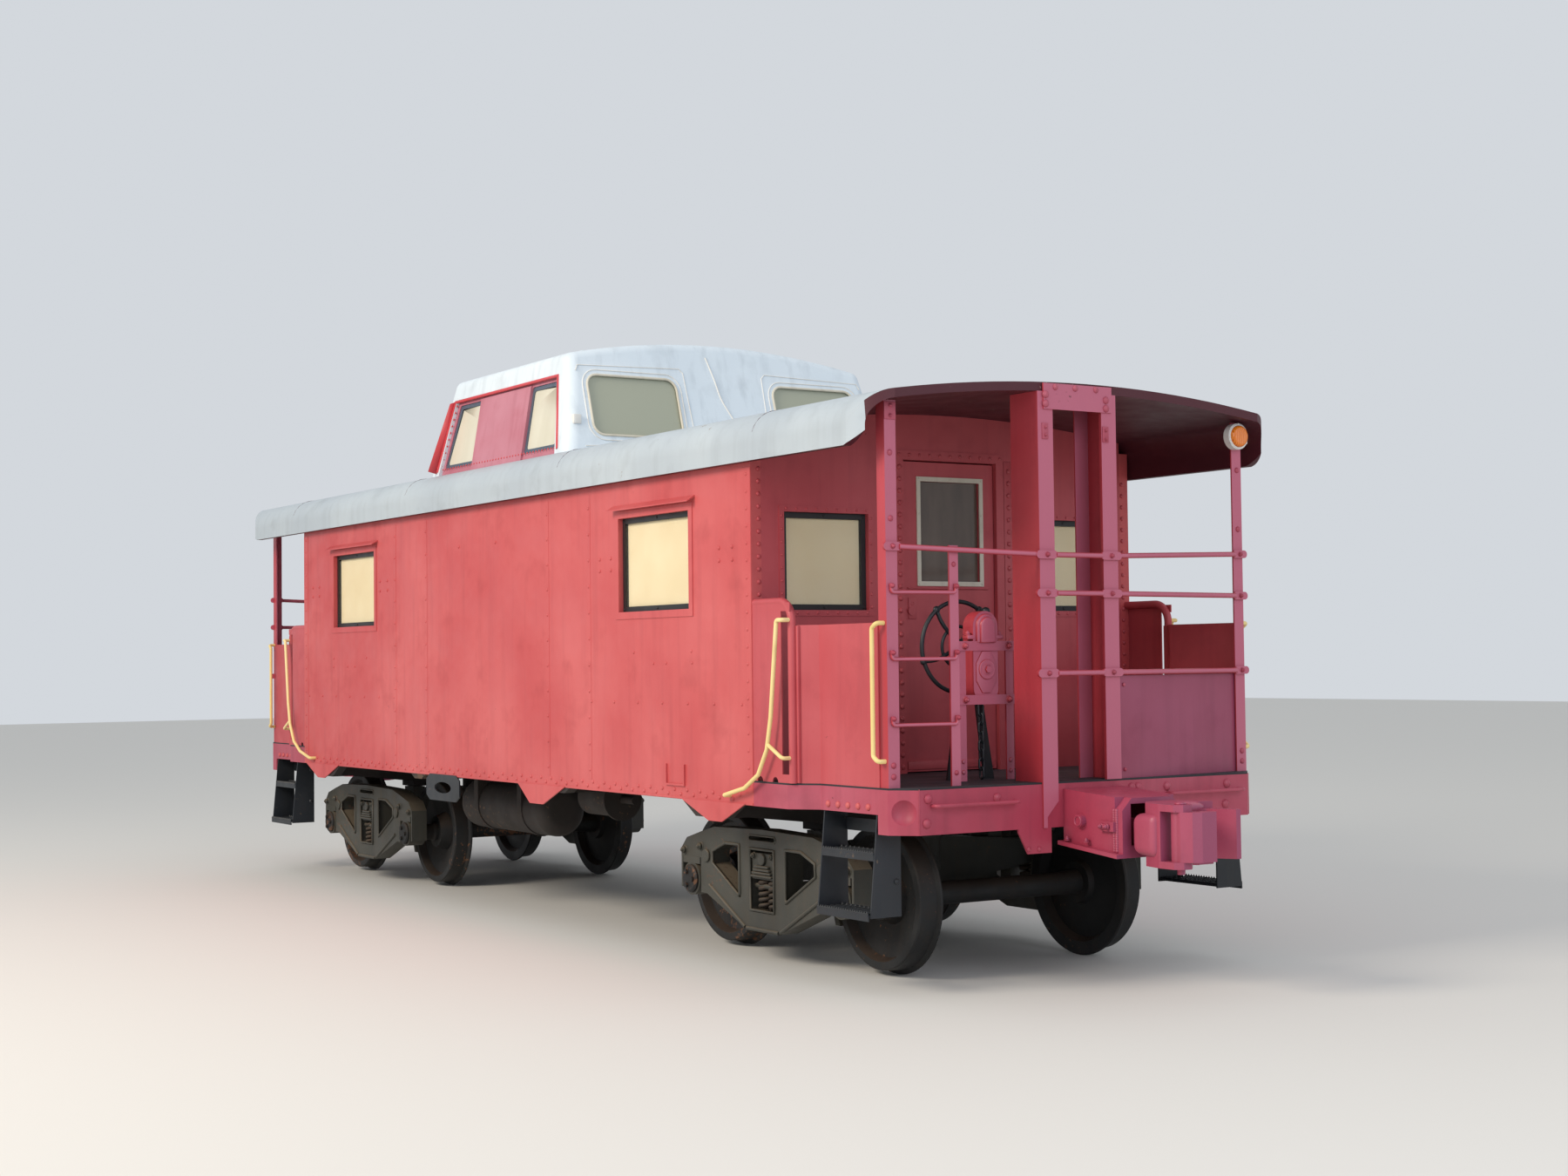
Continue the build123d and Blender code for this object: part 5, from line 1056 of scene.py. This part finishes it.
def frame_bolt(x, z, y, size=1.0):
    stamp(castings, bolt_pattern, frame_point(x, z, y), side_outward, size)


arm_opening = ((0.262, 0.694), (0.428, 0.694), (0.578, 0.636), (0.584, 0.56), (0.27, 0.384), (0.256, 0.4))
spring_opening = ((-0.135, 0.31), (0.135, 0.31), (0.135, 0.68), (-0.135, 0.68))
slot = ((-0.14, 0.728), (0.14, 0.728), (0.152, 0.745), (0.14, 0.762), (-0.14, 0.762), (-0.152, 0.745))
for way in (1, -1):
    frame_bar([(way * x, z) for x, z in arm_opening], 0.011, closed=True)
    frame_bolt(way * 0.72, 0.655, -1.075, 1.3)
    frame_bolt(way * 0.92, 0.62, -1.075, 1.3)
    drum(castings, frame_point(way * 0.65, 0.6, -1.07), side_outward, 0.04, 0.02, 0.006)
frame_bar(spring_opening, 0.011, closed=True)
frame_bar(slot, 0.006, closed=True)
for chord in (((-0.18, 0.196), (0.18, 0.196)), ((0.2, 0.2), (0.62, 0.42)), ((-0.2, 0.2), (-0.62, 0.42))):
    frame_bar(chord, 0.012)
# Four leaves of the plate over the springs, each shorter and higher than the one below.
leaf_inset, leaf_pitch = 0.012, 0.019
for layer in range(4):
    half_length = 0.115 - leaf_inset * layer
    low = frame_point(-half_length, 0.512 + leaf_pitch * layer, -1.09)
    plate(castings, low, frame_point(half_length, 0.526 + leaf_pitch * layer, -1.05), 0.004)
drum(castings, frame_point(0, 0.62, -1.06), side_outward, 0.034, 0.026, 0.006)
frame_bar(((-0.15, 0.455), (0.15, 0.455)), 0.016, y=-1.03)
for x in (-0.1, 0.1):
    frame_bolt(x, 0.64, -1.068)
add_half_turn(castings, (truck_middle, 0, 0))
on_both_ends("cast_frame_details", castings, truck_paint, "truck")

# %% [markdown]
# The step treads are open gratings. Long bars lie on the folded treads and short ones cross
# them. A close row of teeth stands on the front bar, and a wider one on the second from the back.

# %% Step gratings
tooth_part = bmesh.new()
bmesh.ops.create_cone(tooth_part, cap_ends=True, segments=4, radius1=0.009, radius2=0.001, depth=0.012)
tooth_pattern = to_mesh("tooth", tooth_part)
half_bar, bar_foot, back_bar, bar_pitch = 0.003, 0.004, 1.175, 0.036
gratings = bmesh.new()
for tread, reach in ((0.448, 1.372), (0.768, 1.332)):
    low = tread - bar_foot
    for y in [back_bar + bar_pitch * step for step in range(5)] + [reach]:
        plate(gratings, (4.201, -y - half_bar, low), (4.694, -y + half_bar, tread + 0.012), 0.001)
    for step in range(7):
        x = 4.225 + 0.074 * step
        plate(gratings, (x - half_bar, -reach, low), (x + half_bar, -1.17, tread + 0.009), 0.001)
    for y, pitch in ((-reach, 0.022), (-back_bar - bar_pitch, 0.044)):
        ends = [(x, y, tread + 0.016) for x in (4.215, 4.68)]
        stamp_row(gratings, tooth_pattern, *ends, pitch, upward_face)
for z in (0.62, 0.9):
    for x, way in ((4.1895, -1), (4.7055, 1)):
        stamp(gratings, rivet_pattern, (x, -1.19, z), (way, 0, 0), 1.4)
mirrored = bmesh.ops.duplicate(gratings, geom=everything(gratings))
bmesh.ops.scale(gratings, vec=(1, -1, 1), verts=new_of(mirrored))
bmesh.ops.reverse_faces(gratings, faces=new_of(mirrored, bmesh.types.BMFace))
add_half_turn(gratings)
new_object("step_gratings", gratings, step_paint, smooth=False)

# %% [markdown]
# The cupola: a red edging and a windshield fin on each side bay, rivets along its foot, rubber
# round the end windows, welded seams, and knobs along the crown.

# %% Cupola trim
# Where the cupola's walls stand at one height, and how far they lean in for each metre up.
side_foot_y, side_foot_z, side_lean = 1.3404, 3.2564, 0.1694
end_foot_x, end_foot_z, end_lean = 1.246, 3.0, 0.3072


def cupola_side(x, z, out=0.0):
    """A point on the slanting side of the cupola, moved outwards."""
    return (x, -(side_foot_y - side_lean * (z - side_foot_z)) - out, z)


def cupola_end(y, z, out=0.0):
    """A point on the slanting end of the cupola, moved outwards."""
    return (end_foot_x - end_lean * (z - end_foot_z) + out, y, z)


bay_trim = bmesh.new()
bay_outline = ((1.012, 3.285), (0.862, 3.812), (-0.862, 3.812), (-1.012, 3.285))
bar(bay_trim, [cupola_side(x, z, 0.008) for x, z in bay_outline], 0.014)
bay_outward = (0, -1, 0.17)
stamp_row(bay_trim, rivet_pattern, cupola_side(-0.94, 3.3), cupola_side(0.94, 3.3), 0.047, bay_outward, 0.6)
stamp_row(bay_trim, rivet_pattern, cupola_side(-0.97, 3.33), cupola_side(-0.85, 3.78), 0.05, bay_outward, 0.7)
fin = bmesh.new()
fin_corners = ((-1.018, 3.27, 0), (-0.872, 3.82, 0), (-0.872, 3.8, 0.05), (-1.018, 3.29, 0.085))
fin.faces.new([fin.verts.new(cupola_side(x, z, out)) for x, z, out in fin_corners])
thicken(fin, (-0.01, 0, 0))
merge(bay_trim, fin)
add_half_turn(bay_trim)
new_object("cupola_bay_trim", bay_trim, trim_red_paint)

window_low, window_high = 3.38, 3.82
window_near, window_far, round_corner = 0.4, 1.12, 0.085


def rounded_window(grow, out):
    """Points round an end window, grow wider than its glass."""
    reach = round_corner + grow
    left, right = window_near + round_corner, window_far - round_corner
    low, high = window_low + round_corner, window_high - round_corner
    points = []
    for y, z, start in ((right, high, 0), (left, high, 90), (left, low, 180), (right, low, 270)):
        for step in range(7):
            angle = math.radians(start + 15 * step)
            points.append(cupola_end(y + reach * math.cos(angle), z + reach * math.sin(angle), out))
    return points


rubbers = bmesh.new()
seams = bmesh.new()
for side in (1, -1):
    for part, grow, out, thick in ((rubbers, -0.004, 0.002, 0.009), (seams, 0.032, 0.001, 0.0045)):
        points = [(x, side * y, z) for x, y, z in rounded_window(grow, out)]
        bar(part, points, thick, closed=True)
    panel = [(0.31, 3.34), (0.33, 3.87), (0.36, 3.9), (1.17, 3.88), (1.19, 3.84)]
    foot_seam = [(0.31, 3.335), (0.8, 3.325), (1.2, 3.30)]
    for line in (panel, foot_seam):
        bar(seams, [cupola_end(side * y, z, 0.001) for y, z in line], 0.004)
middle_seam = [
    (-0.12, 4.0), (-0.1, 3.93), (-0.07, 3.82), (-0.05, 3.7), (0.0, 3.6), (0.04, 3.53), (0.1, 3.45), (0.12, 3.37)
]
bar(seams, [cupola_end(y, z, 0.001) for y, z in middle_seam], 0.006, smooth=True)
plate(seams, (1.03, -1.27, 3.455), (1.115, -1.21, 3.52), 0.004)
add_half_turn(rubbers)
add_half_turn(seams)
new_object("cupola_window_rubbers", rubbers, trim_paint)
new_object("cupola_seams", seams, lamp_white_paint)

# The crown of the cupola falls by this much at its edge, as a parabola.
crown_fall, crown_edge_y = 0.132, 1.208
knob_rows = [(x, y, 4.1) for x in (-0.72, -0.36, 0.0, 0.36, 0.72) for y in (1.0, -1.0)]
knob_rows += [(x, y, 4.083) for y in (-0.7, -0.45, 0.45, 0.7) for x in (0.8, -0.8)]
knobs = bmesh.new()
for x, y, crown_z in knob_rows:
    z = crown_z - crown_fall * (y / crown_edge_y) ** 2
    stamp(knobs, rivet_pattern, (x, y, z), (0, y * 0.2, 1), 2.0)
new_object("cupola_knobs", knobs, cupola_paint)

# %% [markdown]
# The roof is made of sheets welded crosswise. A low bead crosses the crown at each joint and turns
# down over the shoulder.

# %% Roof beads
def roof_line(x, out):
    """Points across the roof's skin at x, from one shoulder to the other."""
    crown_radius, crown_z, shoulder_y, shoulder_radius = 9.1325, 3.355, 1.315, 0.19
    across = []
    for step in range(9):
        y = shoulder_y * step / 8
        across.append((y, crown_z - crown_radius + math.sqrt(crown_radius**2 - y**2) + out))
    foot_z = across[-1][1] - shoulder_radius - out
    for angle in (15, 30, 45, 60, 72):
        reach = shoulder_radius + out - 0.002
        turned = math.radians(angle)
        across.append((shoulder_y + reach * math.sin(turned), foot_z + reach * math.cos(turned)))
    left = [(x, -y, z) for y, z in reversed(across)]
    return left + [(x, y, z) for y, z in across[1:]]


beads = bmesh.new()
for x in (-3.77, -1.3, 1.3, 3.77):
    bar(beads, roof_line(x, 0.0005), 0.0032)
new_object("roof_beads", beads, roof_paint)

# %% [markdown]
# Draft box and coupler: heaped weld beads down the front corner, a bolted key plate on the side,
# the head of the knuckle's pin, and rounded masses that soften the head.

# %% Coupler fittings
draft_fittings = bmesh.new()
for side in (1, -1):
    outward = (0, side, 0)
    for x in (5.352, 5.372):
        ends = [(x, side * 0.2135, z) for z in (0.775, 0.99)]
        stamp_row(draft_fittings, rivet_pattern, *ends, 0.013, outward, 1.1)
    ring(draft_fittings, (5.09, side * 0.244, 0.923), outward, 0.026, 0.006, 8, 28)
    low_y, high_y = sorted((side * 0.238, side * 0.252))
    plate(draft_fittings, (5.27, low_y, 0.892), (5.345, high_y, 0.918), 0.004)
    for x in (5.288, 5.332):
        stamp(draft_fittings, bolt_pattern, (x, side * 0.25, 0.905), outward, 0.8)
    for x in (4.99, 5.15):
        stamp(draft_fittings, bolt_pattern, (x, side * 0.236, 0.812), upward_face, 0.8)
knuckle_pin_x, knuckle_pin_y, pin_top, shank_z = 5.765, -0.118, 1.0385, 0.872
drum(draft_fittings, (knuckle_pin_x, knuckle_pin_y, pin_top), upward_face, 0.03, 0.012, 0.005, 24)

cheek = bmesh.new()
bmesh.ops.create_cube(cheek, size=1)
bmesh.ops.scale(cheek, vec=(0.2, 0.12, 0.215), verts=cheek.verts)
bmesh.ops.scale(cheek, vec=(1, 1.15, 1.12), verts=[v for v in cheek.verts if v.co.x > 0])
soften(cheek, cheek.edges[:], 0.05, 6)
put(draft_fittings, cheek, (5.565, -0.14, shank_z))

# A low dome on top, kept behind the knuckle so that the knuckle can swing.
dome = bmesh.new()
bmesh.ops.create_uvsphere(dome, u_segments=32, v_segments=16, radius=1)
put(draft_fittings, dome, (5.635, 0.03, 1.012), (0.07, 0.13, 0.035))

neck = bmesh.new()
bmesh.ops.create_cone(neck, cap_ends=True, segments=32, radius1=0.088, radius2=0.112, depth=0.16)
bmesh.ops.rotate(neck, cent=origin, matrix=lie_along_x, verts=neck.verts)
soften(neck, [e for e in neck.edges if abs(e.verts[0].co.x - e.verts[1].co.x) < 1e-6], 0.018, 3)
put(draft_fittings, neck, (5.51, -0.012, shank_z))
add_half_turn(draft_fittings)
new_object("draft_box_fittings", draft_fittings, coupler_paint)

# %% [markdown]
# The round lamp: a clamping ring with three screws, between its white housing and the amber dome.

# %% Lamp ring
lamp_y, lamp_z = 1.252, 3.1257
screw_reach = 0.072
lamp_ring = bmesh.new()
ring(lamp_ring, (lens_back, lamp_y, lamp_z), end_outward, 0.069, 0.006, 10, 40)
for angle in (90, 210, 330):
    turned = math.radians(angle)
    across, high = screw_reach * math.cos(turned), screw_reach * math.sin(turned)
    spot = (lens_back + 0.001, lamp_y + across, lamp_z + high)
    stamp(lamp_ring, rivet_pattern, spot, end_outward, 0.7)
new_object("lamp_clamp_ring", lamp_ring, lamp_white_paint)

# %% [markdown]
# Window hardware: the black sashes have a small screw at each corner and halfway along.

# %% Sash screws
sash_low, sash_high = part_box("window_sashes")
sash_side_y, sash_end_x = sash_low[1] - off_sheet, sash_high[0] + off_sheet
sash_screws = bmesh.new()
for end in (1, -1):
    for x in (2.078, 2.505, 2.932):
        for z in (2.154, 2.718):
            stamp(sash_screws, rivet_pattern, (end * x, sash_side_y, z), side_outward, 0.7)
for side in (1, -1):
    for y in (0.633, 0.915, 1.197):
        for z in (2.129, 2.67):
            stamp(sash_screws, rivet_pattern, (sash_end_x, side * y, z), end_outward, 0.7)
add_half_turn(sash_screws)
new_object("sash_screws", sash_screws, sash_paint)
